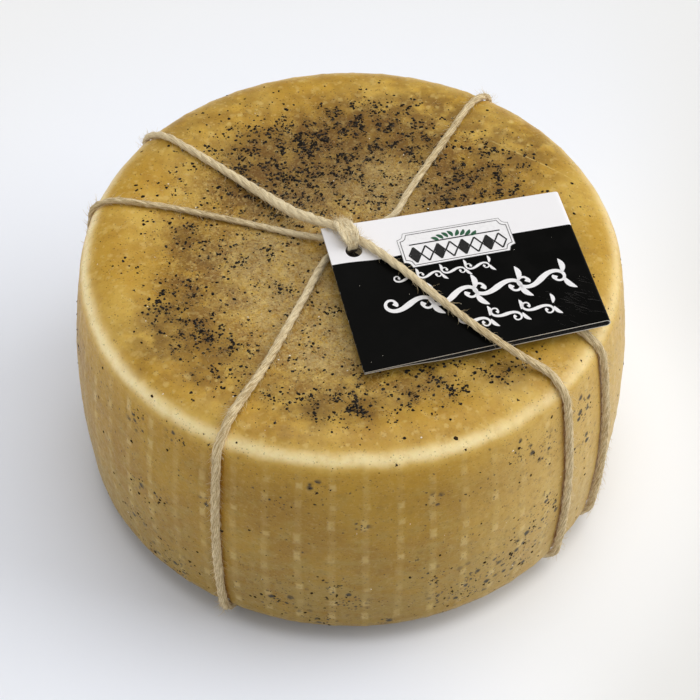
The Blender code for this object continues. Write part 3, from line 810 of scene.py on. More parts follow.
def makeSpeckShape(name, sides, dome):
    # an irregular low dome with a sunk rim, about 1 m across, for strewing
    chance = random.Random(sides)
    vertices = [(0.0, 0.0, dome)]
    for k in range(sides):
        turn, r = 2 * math.pi * k / sides, chance.uniform(0.42, 0.58)
        vertices.append((r * math.cos(turn), r * math.sin(turn), -0.06))
    faces = [(0, k + 1, (k + 1) % sides + 1) for k in range(sides)]
    faces.append(tuple(range(sides, 0, -1)))
    thing = meshObject(name, vertices, faces)
    pointAttribute(thing.data, "reach", [1.0] * len(vertices))
    return thing


def makeHairShape(name, joints, arch, thick):
    # a thin curved fibre from the origin along +X, 1 m long, three-sided
    vertices, reach = [], []
    for k in range(joints + 1):
        t = k / joints
        r = thick * (1.0 - 0.75 * t)
        for s in range(3):
            turn = 2 * math.pi * s / 3 + math.pi / 2
            vertices.append((t, arch * 0.35 * math.sin(2.2 * t) + r * math.cos(turn),
                             arch * t * (1 - 0.6 * t) + r * math.sin(turn)))
            reach.append(t)
    faces = []
    for k in range(joints):
        for s in range(3):
            a, b = 3 * k + s, 3 * k + (s + 1) % 3
            faces.append((a, b, b + 3, a + 3))
    faces += [(2, 1, 0), (3 * joints, 3 * joints + 1, 3 * joints + 2)]
    thing = meshObject(name, vertices, faces)
    pointAttribute(thing.data, "reach", reach)
    return thing


def strew(name, surface, shape, mat, slot, **values):
    # values are the tree's inputs, with a capital for each word
    settings = {"Clump Size": 5 * mm, "Clump Cut": -0.2, "Chain Size": 4 * mm, "Chain Share": 0.0,
                "Spin From": -math.pi, "Spin To": math.pi, "Lean From": 0.0, "Lean To": 0.0}
    settings.update({key.replace("_", " "): value for key, value in values.items()})
    settings.update(Shape=shape, Material=mat)
    finished(grownMesh(name, surface, scatterTree, settings), slot)


topEdge = (sideRadius(wheel["height"] - wheel["topShoulder"][1]) - wheel["topShoulder"][0]) / mm
wheelRind = finished(makeWheel(makeRindMaterial(topEdge)), "rind", "cheese_wheel")


def makeMouldMaterial(name, dark, pale):
    mat, shader, place = newMaterial(name, **mouldLook)
    join(layer(between(grain(place, 1.1 * mm), 0.45, 0.7), dark, pale), shader, "Base Color")
    bump(shader, grain(place, 0.25 * mm), 0.05 * mm)
    return mat


mouldMaterial = makeMouldMaterial("mould", mouldLook["colour"], mouldLook["greyer"])
sideMouldMaterial = makeMouldMaterial("sideMould", mouldLook["sideColour"], mouldLook["sideGreyer"])
speckShape = makeSpeckShape("speckShape", 7, 0.12)
hairShape = makeHairShape("hairShape", 3, 0.25, 0.022)


def storeDensities(rind):
    # attributes that only the strewing reads: mould flecks, pale crystals and bloom fibres
    mesh = rind.data
    count = len(mesh.vertices)
    place = np.empty(count * 3, np.float32)
    mesh.vertices.foreach_get("co", place)
    place = place.reshape(-1, 3) / mm
    read = {}
    for name in ("arc", "mould", "bloom"):
        values = np.empty(count, np.float32)
        mesh.attributes[name].data.foreach_get("value", values)
        read[name] = values
    radius = np.hypot(place[:, 0], place[:, 1])
    isTop = read["arc"] < topEdge + 8.0
    inner = 1.0 / (1.0 + np.exp((radius - 76.0) / 3.0))
    pointAttribute(mesh, "topFlecks", np.where(isTop, 0.02 + inner * (0.1 + read["mould"]), 0.0))
    pointAttribute(mesh, "sideFlecks", np.where(isTop | (place[:, 2] < 0.5), 0.0, 0.035 + read["mould"]))
    pointAttribute(mesh, "crystals", np.where(isTop, 0.4 + 0.6 * read["bloom"], 0.15))
    pointAttribute(mesh, "fibres", np.where(isTop, read["bloom"] + 0.2 * inner, 0.0))


storeDensities(wheelRind)
clumps = {"Clump_Size": mouldLook["clump"], "Clump_Cut": mouldLook["clumpCut"]}
strew("mould_flecks", wheelRind, speckShape, mouldMaterial, "rind", Where="topFlecks",
      Per_Square_Metre=7400000.0, Chain_Size=mouldLook["chain"], Chain_Share=0.6, **clumps,
      Smallest=0.24 * mm, Largest=2.0 * mm, Size_Bias=3.5, Crumple=0.45 * mm, Crumple_Size=0.5 * mm, Seed=3)
strew("side_flecks", wheelRind, speckShape, sideMouldMaterial, "rind", Where="sideFlecks",
      Per_Square_Metre=600000.0, Smallest=0.25 * mm, Largest=2.0 * mm, Size_Bias=2.9, **clumps,
      Crumple=0.6 * mm, Crumple_Size=0.7 * mm, Seed=5)

crystalMaterial = mottledMaterial("crystals", 1.5 * mm, paint(232, 222, 196), paint(250, 246, 236), 0.3)
strew("crystals", wheelRind, speckShape, crystalMaterial, "rind", Where="crystals", Per_Square_Metre=9000.0,
      Smallest=0.25 * mm, Largest=1.1 * mm, Size_Bias=3.0, Crumple=0.3 * mm, Crumple_Size=0.5 * mm, Seed=11)

fibreMaterial = mottledMaterial("bloomFibres", 4 * mm, paint(196, 170, 112), paint(222, 204, 158), 0.8)
strew("bloom_fibres", wheelRind, hairShape, fibreMaterial, "rind", Where="fibres", Per_Square_Metre=900000.0,
      Clump_Size=5 * mm, Clump_Cut=0.42, Smallest=0.8 * mm, Largest=2.6 * mm, Size_Bias=1.5,
      Lean_From=-0.25, Lean_To=0.02,
      Crumple=1.6 * mm, Crumple_Size=1.5 * mm, Seed=21)


tag = {
    "corner": (-10.2 * mm, 1.8 * mm),  # top left
    "yaw": math.radians(13.7),
    "width": 85.0 * mm,
    "depth": 62.5 * mm,
    "rise": (8.0 * mm, 5.6 * mm, 7.2 * mm, 3.4 * mm),  # top left, top right, bottom right, bottom left
    "bow": 0.5 * mm,
    "thickness": 0.35 * mm,
    "pinched": 0.6 * mm,
    "leafSpace": 1.9 * mm,
    "foldSpace": 2.5 * mm,
    "hole": (8.7 * mm, 12.3 * mm),
    "holeRadius": 2.9 * mm,
    "holeLift": 0.75 * mm,
    "holeLiftReach": 11.0 * mm,
    "columns": 84,
    "bandRows": 18,
    "fieldRows": 44,
    "black": paint(7, 7, 6),
    "white": paint(233, 231, 232),
    "paper": paint(214, 210, 202),
}
along = Vector((math.cos(tag["yaw"]), math.sin(tag["yaw"]), 0.0))
down = Vector((math.sin(tag["yaw"]), -math.cos(tag["yaw"]), 0.0))


def cardHeight(u, w):
    # the upper leaf's middle plane, u along its top edge and w down from it
    across, away = u / tag["width"], w / tag["depth"]
    topLeft, topRight, bottomRight, bottomLeft = tag["rise"]
    rise = (topLeft * (1 - across) + topRight * across) * (1 - away)
    rise += (bottomLeft * (1 - across) + bottomRight * across) * away
    rise += tag["bow"] * math.sin(math.pi * across) * math.sin(math.pi * away)
    fromHole = math.hypot(u - tag["hole"][0], w - tag["hole"][1]) / tag["holeLiftReach"]
    return wheel["height"] + rise + tag["holeLift"] * math.exp(-(fromHole**2))


def leafSpace(u):
    opened = tag["pinched"] + (tag["leafSpace"] - tag["pinched"]) * smooth((u - 10 * mm) / (22 * mm))
    return opened + (tag["foldSpace"] - tag["leafSpace"]) * (u / tag["width"])


def tagPlace(u, w, z):
    place = Vector((*tag["corner"], 0.0)) + along * u + down * w
    place.z = z
    return place


def bandEdge(u):
    # how far down the white band reaches: a straight cut with a slight sag by the hole
    return 16.4 * mm + 1.3 * mm * math.exp(-(((u - 17 * mm) / (11 * mm)) ** 2))


def cardRows():
    # shares of the depth as functions of u: the white band's rows end on its edge
    rows = [lambda u, t=k / tag["bandRows"]: bandEdge(u) * t for k in range(tag["bandRows"] + 1)]
    for k in range(1, tag["fieldRows"] + 1):
        share = k / tag["fieldRows"]
        rows.append(lambda u, t=share: bandEdge(u) + (tag["depth"] - bandEdge(u)) * t)
    return rows


def cardStations(foldSteps=8):
    # (u, how far round the fold) along the section, from the upper leaf's edge to the lower leaf's
    foldRadius = leafSpace(tag["width"]) / 2
    straight = tag["width"] - foldRadius
    stations = [("upper", straight * k / tag["columns"]) for k in range(tag["columns"] + 1)]
    stations += [("fold", math.pi * k / foldSteps) for k in range(1, foldSteps)]
    stations += [("lower", straight * (tag["columns"] - k) / tag["columns"])
                 for k in range(tag["columns"] + 1)]
    return stations, straight, foldRadius


def cardPoint(kind, value, row, side, straight, foldRadius):
    half = tag["thickness"] / 2 * side
    if kind == "upper":
        w = row(value)
        return tagPlace(value, w, cardHeight(value, w) + half), (value, w)
    if kind == "lower":
        w = row(value)
        level = cardHeight(value, w) - leafSpace(value)
        if value == straight:
            level = cardHeight(straight, w) - 2 * foldRadius
        return tagPlace(value, w, level - half), (value, w)
    w = row(straight)
    middle = cardHeight(straight, w) - foldRadius
    u = straight + (foldRadius + half) * math.sin(value)
    return tagPlace(u, w, middle + (foldRadius + half) * math.cos(value)), (u, w)


def makeTag(black, white, paper, inside):
    rows = cardRows()
    stations, straight, foldRadius = cardStations()
    vertices, places = [], []
    for side in (1, -1):  # outer skin, then inner skin
        for row in rows:
            for kind, value in stations:
                place, onCard = cardPoint(kind, value, row, side, straight, foldRadius)
                vertices.append(place)
                places.append(onCard)
    across, total = len(stations), len(rows) * len(stations)
    faces, slots = [], []
    for j in range(len(rows) - 1):
        for k in range(across - 1):
            a, b = j * across + k, j * across + k + 1
            faces.append((a, a + across, b + across, b))
            slots.append(1 if j < tag["bandRows"] and k < tag["columns"] + 4 else 0)
            faces.append((total + a, total + b, total + b + across, total + a + across))
            slots.append(3)
        for k, turned in ((0, False), (across - 1, True)):
            a = j * across + k
            face = (a, total + a, total + a + across, a + across)
            faces.append(face[::-1] if turned else face)
            slots.append(1 if j < tag["bandRows"] else 0)
    for j, turned in ((0, False), (len(rows) - 1, True)):
        for k in range(across - 1):
            a = j * across + k
            face = (a, a + 1, total + a + 1, total + a)
            faces.append(face[::-1] if turned else face)
            slots.append(2)
    card = meshObject("tag_card", vertices, faces, [black, white, paper, inside])
    card.data.polygons.foreach_set("material_index", slots)
    layerUv = card.data.uv_layers.new(name="card")
    corners = np.array([places[loop.vertex_index] for loop in card.data.loops], np.float32) / tag["width"]
    layerUv.data.foreach_set("uv", corners.ravel())
    card.data.set_sharp_from_angle(angle=math.radians(35))
    return punched(card, paper)


def punched(card, paper):
    # the round hole through both leaves
    bpy.ops.mesh.primitive_cylinder_add(vertices=48, radius=tag["holeRadius"], depth=14 * mm)
    punch = bpy.context.object
    punch.location = tagPlace(*tag["hole"], cardHeight(*tag["hole"]))
    punch.data.materials.append(paper)
    cut = card.modifiers.new("hole", "BOOLEAN")
    cut.object, cut.operation, cut.solver = punch, "DIFFERENCE", "EXACT"
    cut.material_mode = "TRANSFER"
    graph = bpy.context.evaluated_depsgraph_get()
    mesh = bpy.data.meshes.new_from_object(card.evaluated_get(graph), depsgraph=graph)
    card.modifiers.remove(cut)
    card.data = mesh
    bpy.data.objects.remove(punch, do_unlink=True)
    return card


def makeCardMaterials():
    # the printed black and white, the cut edge and the inside
    found = []
    for name, colour, dirt, dirtShare, roughness, gloss in (
            ("cardBlack", tag["black"], paint(17, 16, 15), 0.35, 0.34, 0.03),
            ("cardWhite", tag["white"], paint(214, 210, 208), 0.06, 0.45, 0.2)):
        mat, shader, _ = newMaterial(name, Specular_IOR_Level=gloss)
        # the piece's own UV map, in metres on the card
        place = vectors("SCALE", wire(mat.node_tree, "ShaderNodeUVMap", uv_map="card"), scale=tag["width"])
        fromLeft, fromTop, _ = parts(place)
        smudge = grain(place, 9 * mm, detail=4.0, shift=3.0)
        # distance from the nearest cut edge, for the worn rim
        nearest = reckon("MINIMUM", reckon("MINIMUM", fromLeft, tag["depth"] - fromTop), fromTop)
        rag = grain(place, 1.0 * mm, detail=4.0, rough=0.7, shift=6.0) * (0.8 * mm)
        chipped = between(nearest - rag, -0.44 * mm, -0.5 * mm)
        toned = layer(between(smudge, 0.45, 0.75) * dirtShare, colour, dirt)
        join(layer(chipped, toned, tag["paper"]), shader, "Base Color")
        join(between(smudge, 0.3, 0.7, roughness - 0.06, roughness + 0.1), shader, "Roughness")
        bump(shader, grain(place, 0.9 * mm, detail=4.0, shift=1.0), 0.012 * mm)
        found.append(mat)
    for name, colour in (("cardEdge", tag["paper"]), ("cardInside", paint(24, 23, 22))):
        mat, shader, place = newMaterial(name, Roughness=0.85)
        specks = between(grain(place, 0.6 * mm), 0.4, 0.7, 0.0, 0.3)
        join(layer(specks, colour, paint(110, 106, 100)), shader, "Base Color")
        bump(shader, grain(place, 0.2 * mm), 0.03 * mm)
        found.append(mat)
    return found


tagCard = finished(makeTag(*makeCardMaterials()), "card", "tag")


# the tag's print: a plain ticket shape and leaf scrolls, each a thin raised skin of ink
ink = {
    "thickness": 0.035 * mm,
    "ticket": (24.2 * mm, 63.6 * mm, 16.0 * mm, 7.8 * mm),  # left, right, middle height, half height
    "notch": 2.6 * mm,
    "white": paint(233, 231, 231),
    "grey": paint(96, 94, 94),
    "black": paint(18, 16, 16),
    "green": paint(34, 84, 56),
}


class InkSkin:
    # gathers closed, thin patches that lie on the upper leaf
    def __init__(self, level):
        self.vertices, self.faces, self.level = [], [], level

    def patch(self, grid):
        # grid: rows of (u, w) points, a skin over them with a rim
        rows, columns, base = len(grid), len(grid[0]), len(self.vertices)
        for lift in (self.level + ink["thickness"], self.level - ink["thickness"]):
            for row in grid:
                for u, w in row:
                    self.vertices.append(tagPlace(u, w, cardHeight(u, w) + tag["thickness"] / 2 + lift))
        size = rows * columns
        at = lambda j, k, lower: base + (size if lower else 0) + j * columns + k
        for j in range(rows - 1):
            for k in range(columns - 1):
                top = (at(j, k, 0), at(j + 1, k, 0), at(j + 1, k + 1, 0), at(j, k + 1, 0))
                self.faces += [top, tuple(v + size for v in reversed(top))]
        rim = [(0, k) for k in range(columns)] + [(j, columns - 1) for j in range(1, rows)]
        rim += [(rows - 1, k) for k in range(columns - 2, -1, -1)] + [(j, 0) for j in range(rows - 2, 0, -1)]
        for here, after in zip(rim, rim[1:] + rim[:1]):
            self.faces.append((at(*here, 0), at(*after, 0), at(*after, 1), at(*here, 1)))

    def stroke(self, points, widths):
        # a ribbon of changing width along points in (u, w)
        grid = []
        for k, (u, w) in enumerate(points):
            before, after = points[max(k - 1, 0)], points[min(k + 1, len(points) - 1)]
            run = Vector((after[0] - before[0], after[1] - before[1])).normalized()
            half = widths[k] / 2
            grid.append([(u - run[1] * half * s, w + run[0] * half * s) for s in (-1.0, 0.0, 1.0)])
        self.patch(grid)

    def leaf(self, u, w, turn, length, width):
        points, widths = [], []
        for k in range(9):
            t = k / 8
            bend = 0.12 * length * math.sin(math.pi * t)
            points.append((u + math.cos(turn) * length * t - math.sin(turn) * bend,
                           w + math.sin(turn) * length * t + math.cos(turn) * bend))
            widths.append(width * math.sin(math.pi * min(0.04 + 0.95 * t, 1.0)) ** 0.8 + 0.05 * mm)
        self.stroke(points, widths)

    def finish(self, name, colour, rough):
        mat, shader, place = newMaterial(name, Specular_IOR_Level=0.25, Roughness=rough)
        worn = between(grain(place, 1.2 * mm), 0.4, 0.8) * 0.12
        join(layer(worn, colour, ink["grey"]), shader, "Base Color")
        bump(shader, grain(place, 0.4 * mm), 0.01 * mm)
        finished(meshObject(name, self.vertices, self.faces, [mat], smoothed=False), "card")


def ticketHalf(u, inset=0.0):
    # half height of the ticket shape at u: square ends with a round bite out of each corner
    left, right, _, half = ink["ticket"]
    fromEnd = min(u - left, right - u) - inset
    bite = ink["notch"]
    if fromEnd < bite:
        return half - inset - math.sqrt(max(bite**2 - max(fromEnd, 0.0) ** 2, 0.0))
    return half - inset


def ticketGrid(inset):
    left, right, middle, _ = ink["ticket"]
    bite = ink["notch"]
    near = [inset + bite * (1 - math.cos(math.pi / 2 * k / 6)) for k in range(7)]
    stations = [left + n for n in near]
    stations += [left + inset + bite + (right - left - 2 * (inset + bite)) * k / 22 for k in range(1, 22)]
    stations += [right - n for n in reversed(near)]
    grid = []
    for u in stations:
        half = ticketHalf(u, inset)
        grid.append([(u, middle - half + 2 * half * k / 8) for k in range(9)])
    return [list(row) for row in zip(*grid)][::-1]


def outline(grid):
    # the closed line round a grid's rim
    rows, columns = len(grid), len(grid[0])
    rim = [grid[0][k] for k in range(columns)] + [grid[j][-1] for j in range(1, rows)]
    rim += [grid[-1][k] for k in range(columns - 2, -1, -1)]
    return rim + [grid[j][0] for j in range(rows - 2, -1, -1)]


def scroll(skin, u, w, size, turn, thick, swell=1.0):
    # two opposite curls joined by a swelling stroke, with round ends
    points, widths, heading = [], [], 0.0
    steps, reach = 36, 3.55
    for way in (-1, 1):
        x = y = 0.0
        half = []
        for k in range(steps + 1):
            share = k / steps
            ball = 0.6 * math.exp(-(((share - 0.97) / 0.05) ** 2))
            half.append((x, y, thick * (0.34 + 0.66 * (1 - share) ** 1.6 * swell + ball)))
            bend = (reach * share) ** 2 / 2
            x += way * math.cos(bend) * reach / steps
            y += way * math.sin(bend) * reach / steps
        half = half[::-1] if way < 0 else half[1:]
        for x, y, width in half:
            points.append((u + size * (x * math.cos(turn) - y * math.sin(turn)),
                           w + size * (x * math.sin(turn) + y * math.cos(turn))))
            widths.append(width)
    skin.stroke(points, widths)


def printTag():
    plate = InkSkin(0.03 * mm)
    plate.patch(ticketGrid(0.0))
    plate.finish("tag_ticket", ink["white"], 0.4)
    left, right, middle, half = ink["ticket"]
    lines = InkSkin(0.08 * mm)
    for inset, thick in ((0.9 * mm, 0.28 * mm), (0.0, 0.16 * mm)):
        rim = outline(ticketGrid(inset))
        lines.stroke(rim, [thick] * len(rim))
    lines.finish("tag_ticket_lines", ink["grey"], 0.5)
    bars = InkSkin(0.11 * mm)
    for k in range(8):  # a row of open and filled lozenges in turn
        u, w = left + (4.6 + 4.32 * k) * mm, middle + 2.5 * mm
        if k % 2 == 0:
            bars.stroke([(u, w - 3.2 * mm), (u, w), (u, w + 3.2 * mm)], [0.2 * mm, 3.4 * mm, 0.2 * mm])
        for way in (-1, 1):
            bars.stroke([(u, w - 3.4 * mm), (u + way * 2.1 * mm, w), (u, w + 3.4 * mm)], [0.6 * mm] * 3)
    bars.stroke([(left + (3.6 + 32.2 * k / 20) * mm, middle - 2.2 * mm) for k in range(21)],
                [0.45 * mm] * 21)
    bars.finish("tag_ticket_pattern", ink["black"], 0.4)
    sprig = InkSkin(0.11 * mm)
    centre = (left + right) / 2
    for k in range(4):
        for way in (-1, 1):
            sprig.leaf(centre + way * (0.5 + 1.7 * k) * mm, middle - (3.0 - 0.1 * k * k) * mm,
                       math.radians(-90 + way * (26 + 9 * k)), 3.0 * mm, 1.3 * mm)
    sprig.finish("tag_sprig", ink["green"], 0.4)
    scrolls = InkSkin(0.03 * mm)
    for count, start, step, level, size, turn, thick in (
            (4, 21.5, 15.4, 38.8, 4.7, -0.35, 2.3), (4, 23.0, 8.4, 28.0, 2.3, -0.2, 1.05),
            (3, 41.0, 11.0, 51.0, 3.1, 0.15, 1.4)):
        for k in range(count):
            u, w = (start + step * k) * mm, level * mm
            scroll(scrolls, u, w, size * mm, math.radians(-18) + turn * (1 if k % 2 else 0.6), thick * mm)
            for way in (-1, 1):
                scrolls.leaf(u + 0.5 * step * mm, w + way * 0.25 * size * mm, math.radians(way * 74 - 14),
                             size * 1.35 * mm, size * 0.42 * mm)
    scrolls.finish("tag_scrolls", ink["white"], 0.4)


printTag()
print("tag printed")


# the twine's routes, as the frame's solids have them
def onTop(x, y, rise=None, thickness=0.94):
    x, y = x * mm, y * mm
    level = twine["radius"] * thickness + 0.15 * mm if rise is None else rise * mm
    return (x, y, wheel["height"] + topWave(x, y) + level, thickness)


def overTag(u, w, thickness=1.0):
    u, w = u * mm, w * mm
    rest = cardHeight(u, w) + tag["thickness"] / 2 + twine["gap"] + twine["radius"] * thickness
    return (*tagPlace(u, w, rest), thickness)


def downSide(azimuth, thickness=1.0):
    angle = math.radians(azimuth)
    rows = wheelProfile(topRows=5, cornerRows=6, sideRows=8, footRows=12)
    points = []
    for (r, z, zone), normal in zip(rows, profileNormals(rows)):
        if zone == "top" or (zone == "foot" and r < wheel["dishEdge"]):
            continue
        offset = twineOffset(z, normal, zone) - (1.0 - thickness) * twine["radius"]
        r += sideWave(angle, z) * abs(normal[0]) + offset * normal[0]
        x, y = r * math.cos(angle), r * math.sin(angle)
        z += offset * normal[1]
        if zone == "shoulder":
            z += topWave(x, y) * smooth((z - wheel["bellyLevel"]) / (wheel["height"] - wheel["bellyLevel"]))
        points.append((x, y, z, thickness))
    return points


def underWheel(first, second, high, *crossings):
    ends = []
    for azimuth in (first, second):
        angle, r = math.radians(azimuth), wheel["dishEdge"] * 0.94
        ends.append(Vector((r * math.cos(angle), r * math.sin(angle), twine["undersideLevel"])))
    points = []
    for k in range(15):
        place = ends[0].lerp(ends[1], k / 14)
        near = min((place.xy - spot).length for spot in crossings)
        closeness = 1.0 - smooth((near - 2.5 * mm) / (9 * mm))
        level = twine["crossingHigh"] if high else twine["crossingLow"]
        place.z += (level - twine["undersideLevel"]) * closeness
        points.append((*place, 1.0 - (1.0 - twine["squeeze"]) * closeness))
    return points


def lineCrossing(first, second, third, fourth):
    a, b, c, d = (Vector((math.cos(math.radians(s)), math.sin(math.radians(s)))) * wheel["dishEdge"]
                  for s in (first, second, third, fourth))
    p, q = b - a, d - c
    return a + p * ((c - a).cross(q) / p.cross(q))


def closedCurve(points, samples=12):
    # a smooth closed line through the points
    count, found = len(points), []
    for k in range(count):
        p0, p1, p2, p3 = (Vector(points[(k + i) % count]) for i in (-1, 0, 1, 2))
        for s in range(samples):
            t = s / samples
            found.append(0.5 * ((2 * p1) + (p2 - p0) * t + (2 * p0 - 5 * p1 + 4 * p2 - p3) * t**2
                                + (3 * p1 - p0 - 3 * p2 + p3) * t**3))
    return found


def evenPoints(points, step):
    lengths = [0.0]
    for here, after in zip(points, points[1:] + points[:1]):
        lengths.append(lengths[-1] + (after.xyz - here.xyz).length)
    count = round(lengths[-1] / step)
    ring, found = points + points[:1], []
    for k in range(count):
        want = lengths[-1] * k / count
        i = bisect.bisect_right(lengths, want) - 1
        share = (want - lengths[i]) / max(lengths[i + 1] - lengths[i], 1e-9)
        found.append(ring[i].lerp(ring[i + 1], share))
    return found


def longWrapRoute():
    # twice round the wheel: E over the tag, B, F under the tag, A, and back to the knot
    s = strandAzimuths
    crossBE = lineCrossing(s["B"], s["E"], s["C"], s["D"])
    crossAF = lineCrossing(s["A"], s["F"], s["C"], s["D"])
    tight = twine["tightSqueeze"]
    route = [overTag(8.7, 6.2, tight), overTag(11.9, 10.3, 1.0), overTag(16.7, 16.5, 1.1)]
    route += [overTag(24.1, 27.4, 1.0), overTag(31.4, 40.1, 0.96), overTag(39.3, 53.1, 0.96)]
    route += [overTag(46.0, 62.8, 0.92), onTop(56.0, -52.4, 5.5)]
    route += downSide(s["E"])[2:]
    route += underWheel(s["E"], s["B"], True, crossBE)
    route += reversed(downSide(s["B"], 0.78))
    route += [onTop(-63.0, 18.7, None, 0.74), onTop(-45.4, 14.0, None, 0.76), onTop(-27.9, 8.8, None, 0.78)]
    route += [onTop(-17.5, 5.7, None, 0.82), onTop(-9.9, 3.0, 2.7, 0.8),
              onTop(-3.8, -0.6, 4.0, twine["squeeze"])]
    route += [onTop(1.5, -2.7, 3.4, 0.85), onTop(8.5, -5.6, 1.9), onTop(25.0, -13.0)]
    route += [onTop(48.0, -23.5), onTop(66.0, -31.6)]
    route += downSide(s["F"])
    route += underWheel(s["F"], s["A"], True, crossAF)
    route += reversed(downSide(s["A"], 0.88))
    route += [onTop(-53.4, 43.3, None, 0.98), onTop(-43.0, 34.8, None, 1.04), onTop(-31.7, 24.6, 2.8, 1.2)]
    route += [onTop(-21.0, 13.1, 5.9, 1.34), onTop(-12.6, 6.4, 8.4, 1.28), overTag(3.0, 0.2, 1.0)]
    return route


def crossWrapRoute():
    # once round the wheel: C to D over the top, low under the other strands and the tag
    s = strandAzimuths
    crossBE = lineCrossing(s["B"], s["E"], s["C"], s["D"])
    crossAF = lineCrossing(s["A"], s["F"], s["C"], s["D"])
    route = list(reversed(downSide(s["C"], 0.86)))
    route += [onTop(x, y, None, 0.86) for x, y in ((35.6, 55.2), (28.2, 41.3), (20.9, 27.2), (15.2, 15.0))]
    route += [onTop(7.5, 8.6), onTop(0.2, 3.6, 1.55, 0.85), onTop(-3.8, -0.6, 1.45, twine["squeeze"])]
    route += [onTop(-7.4, -4.4, 1.6, 0.85), onTop(-10.6, -10.5), onTop(-14.6, -20.5)]
    route += [onTop(-21.9, -38.4, None, 1.0), onTop(-29.6, -56.6, None, 1.04)]
    route += downSide(s["D"], 1.14)
    route += underWheel(s["D"], s["C"], False, crossBE, crossAF)
    return route


juteLook = {
    "fibre": paint(230, 210, 166),
    "pale": paint(246, 231, 194),
    "shade": paint(174, 148, 102),
    "fleck": paint(104, 80, 46),
    "hair": paint(240, 225, 188),
    "shadow": paint(30, 24, 18),
    "Roughness": 0.85,
    "Specular_IOR_Level": 0.2,
    "Sheen_Weight": 0.15,
    "Sheen_Roughness": 0.5,
}


def makeJuteMaterial(name, lift):
    # lift: how far its colours are drawn to the pale one; paler by the knot, and a painted shadow inside the
    # hole
    mat, shader, here = newMaterial(name, **juteLook)
    onward = wire(here.tree, "ShaderNodeCombineXYZ", {2: attribute(here.tree, "along") * 60.0})
    # round the ply in x and y, along it in z
    place = vectors("ADD", attribute(here.tree, "around", "Vector"), onward)
    strands = grain(place, 0.3, rough=0.6)
    threads = grain(place, 0.12, detail=2.0, shift=4.0)
    rough = grain(place, 1.3, shift=9.0)
    holeRim = tagPlace(*tag["hole"], cardHeight(*tag["hole"]) + tag["thickness"] / 2)
    away = vectors("DISTANCE", here, holeRim, output="Value")
    # the strand that runs to the back left
    onward = vectors("DOT_PRODUCT", here, (-0.77, 0.64, 0.0), output="Value")
    sideways = vectors("DOT_PRODUCT", here, (0.64, 0.77, 0.0), output="Value")
    paler = between(onward, 4 * mm, 30 * mm) * between(abs(sideways), 13 * mm, 9 * mm)
    inHole = between(parts(here)[2], holeRim.z + 0.1 * mm, holeRim.z - 0.9 * mm)
    inHole = inHole * between(away, 5.5 * mm, 4.5 * mm)
    base = layer(between(strands, 0.4, 0.62), juteLook["shade"], juteLook["fibre"])
    colour = painted(base, juteLook, (
        ("pale", between(threads, 0.5, 0.7) * 0.6),
        ("shade", between(rough, 0.56, 0.7) * 0.35),
        ("fleck", between(threads, 0.4, 0.28) * 0.7),
        ("pale", lift),
        ("pale", between(away, 62 * mm, 12 * mm, 0.0, 0.4)),
        ("pale", paler * 0.3),
        ("shadow", inHole * 0.95)))
    join(colour, shader, "Base Color")
    bump(shader, strands + threads * 0.6, 0.24 * mm)
    return mat


def curveObject(name, splines):
    # each spline is a closed list of (x, y, z, thickness)
    curve = bpy.data.curves.new(name, "CURVE")
    curve.dimensions = "3D"
    for points in splines:
        spline = curve.splines.new("POLY")
        spline.points.add(len(points) - 1)
        for target, (x, y, z, thickness) in zip(spline.points, points):
            target.co, target.radius = (x, y, z, 1.0), thickness
        spline.use_cyclic_u = True
    thing = bpy.data.objects.new(name, curve)
    bpy.context.scene.collection.objects.link(thing)
    return thing


def twisted(name, splines, mat, plies, plyRadius, layRadius, pitch, seed):
    source = curveObject(name + "Route", splines)
    values = {"Plies": plies, "Ply Radius": plyRadius, "Lay Radius": layRadius, "Pitch": pitch,
              "Step": twine["step"],
              "Sides": twine["sides"], "Unevenness": twine["unevenness"], "Seed": seed, "Material": mat}
    thing = grownMesh(name, source, twistTree, values)
    bpy.data.objects.remove(source, do_unlink=True)
    return thing


juteMaterial = makeJuteMaterial("jute", 0.0)
knotMaterial = makeJuteMaterial("knotJute", 0.8)
hairMaterial = mottledMaterial("juteFibres", 3 * mm, juteLook["hair"], juteLook["shade"], 0.8)

strings = []
for name, route, seed in (("twine_long", longWrapRoute(), 4), ("twine_cross", crossWrapRoute(), 9)):
    line = evenPoints(closedCurve(route), 1.0 * mm)
    string = twisted(name, [line], juteMaterial, twine["plies"], twine["plyRadius"], twine["layRadius"],
                     twine["pitch"], seed)
    strings.append(finished(string, "jute", name + "_wrap"))


knot = {
    "bundles": 9,
    "bundleRadius": 0.62 * mm,
    "slant": 0.35,  # share of its width that a bundle drifts across on the way round
    "wobble": 0.32 * mm,
    "seed": 8,
}


def knotLoop():
    # the wrap's middle line: (shift along, w down, height) in mm round the hole's rim strip
    top = (cardHeight(*tag["hole"]) + tag["thickness"] / 2 - wheel["height"]) / mm
    low = top - 2.3
    return [(0.0, 11.0, low + 1.3), (0.0, 11.0, top + 0.4), (-0.1, 10.8, top + 2.2), (-0.5, 9.7, top + 3.9),
            (-0.9, 7.0, top + 4.7), (-1.4, 4.0, top + 4.7), (-1.8, 1.2, top + 3.5), (-2.1, -1.0, top + 1.8),
            (-2.3, -1.9, top - 0.2), (-2.2, -1.0, low + 0.1), (-1.6, 2.4, low - 0.25),
            (-0.9, 6.4, low - 0.25),
            (-0.3, 9.8, low - 0.15)]


def knotHalves(place):
    shift, w, level = place
    top = (cardHeight(*tag["hole"]) - wheel["height"]) / mm
    fat = smooth((level - top - 1.5) / 3.0)
    flat = 1.0 - smooth((level - top + 2.6) / 1.2)
    return (1.65 + 1.45 * fat) * mm, (1.0 + 0.2 * fat - 0.5 * flat) * mm


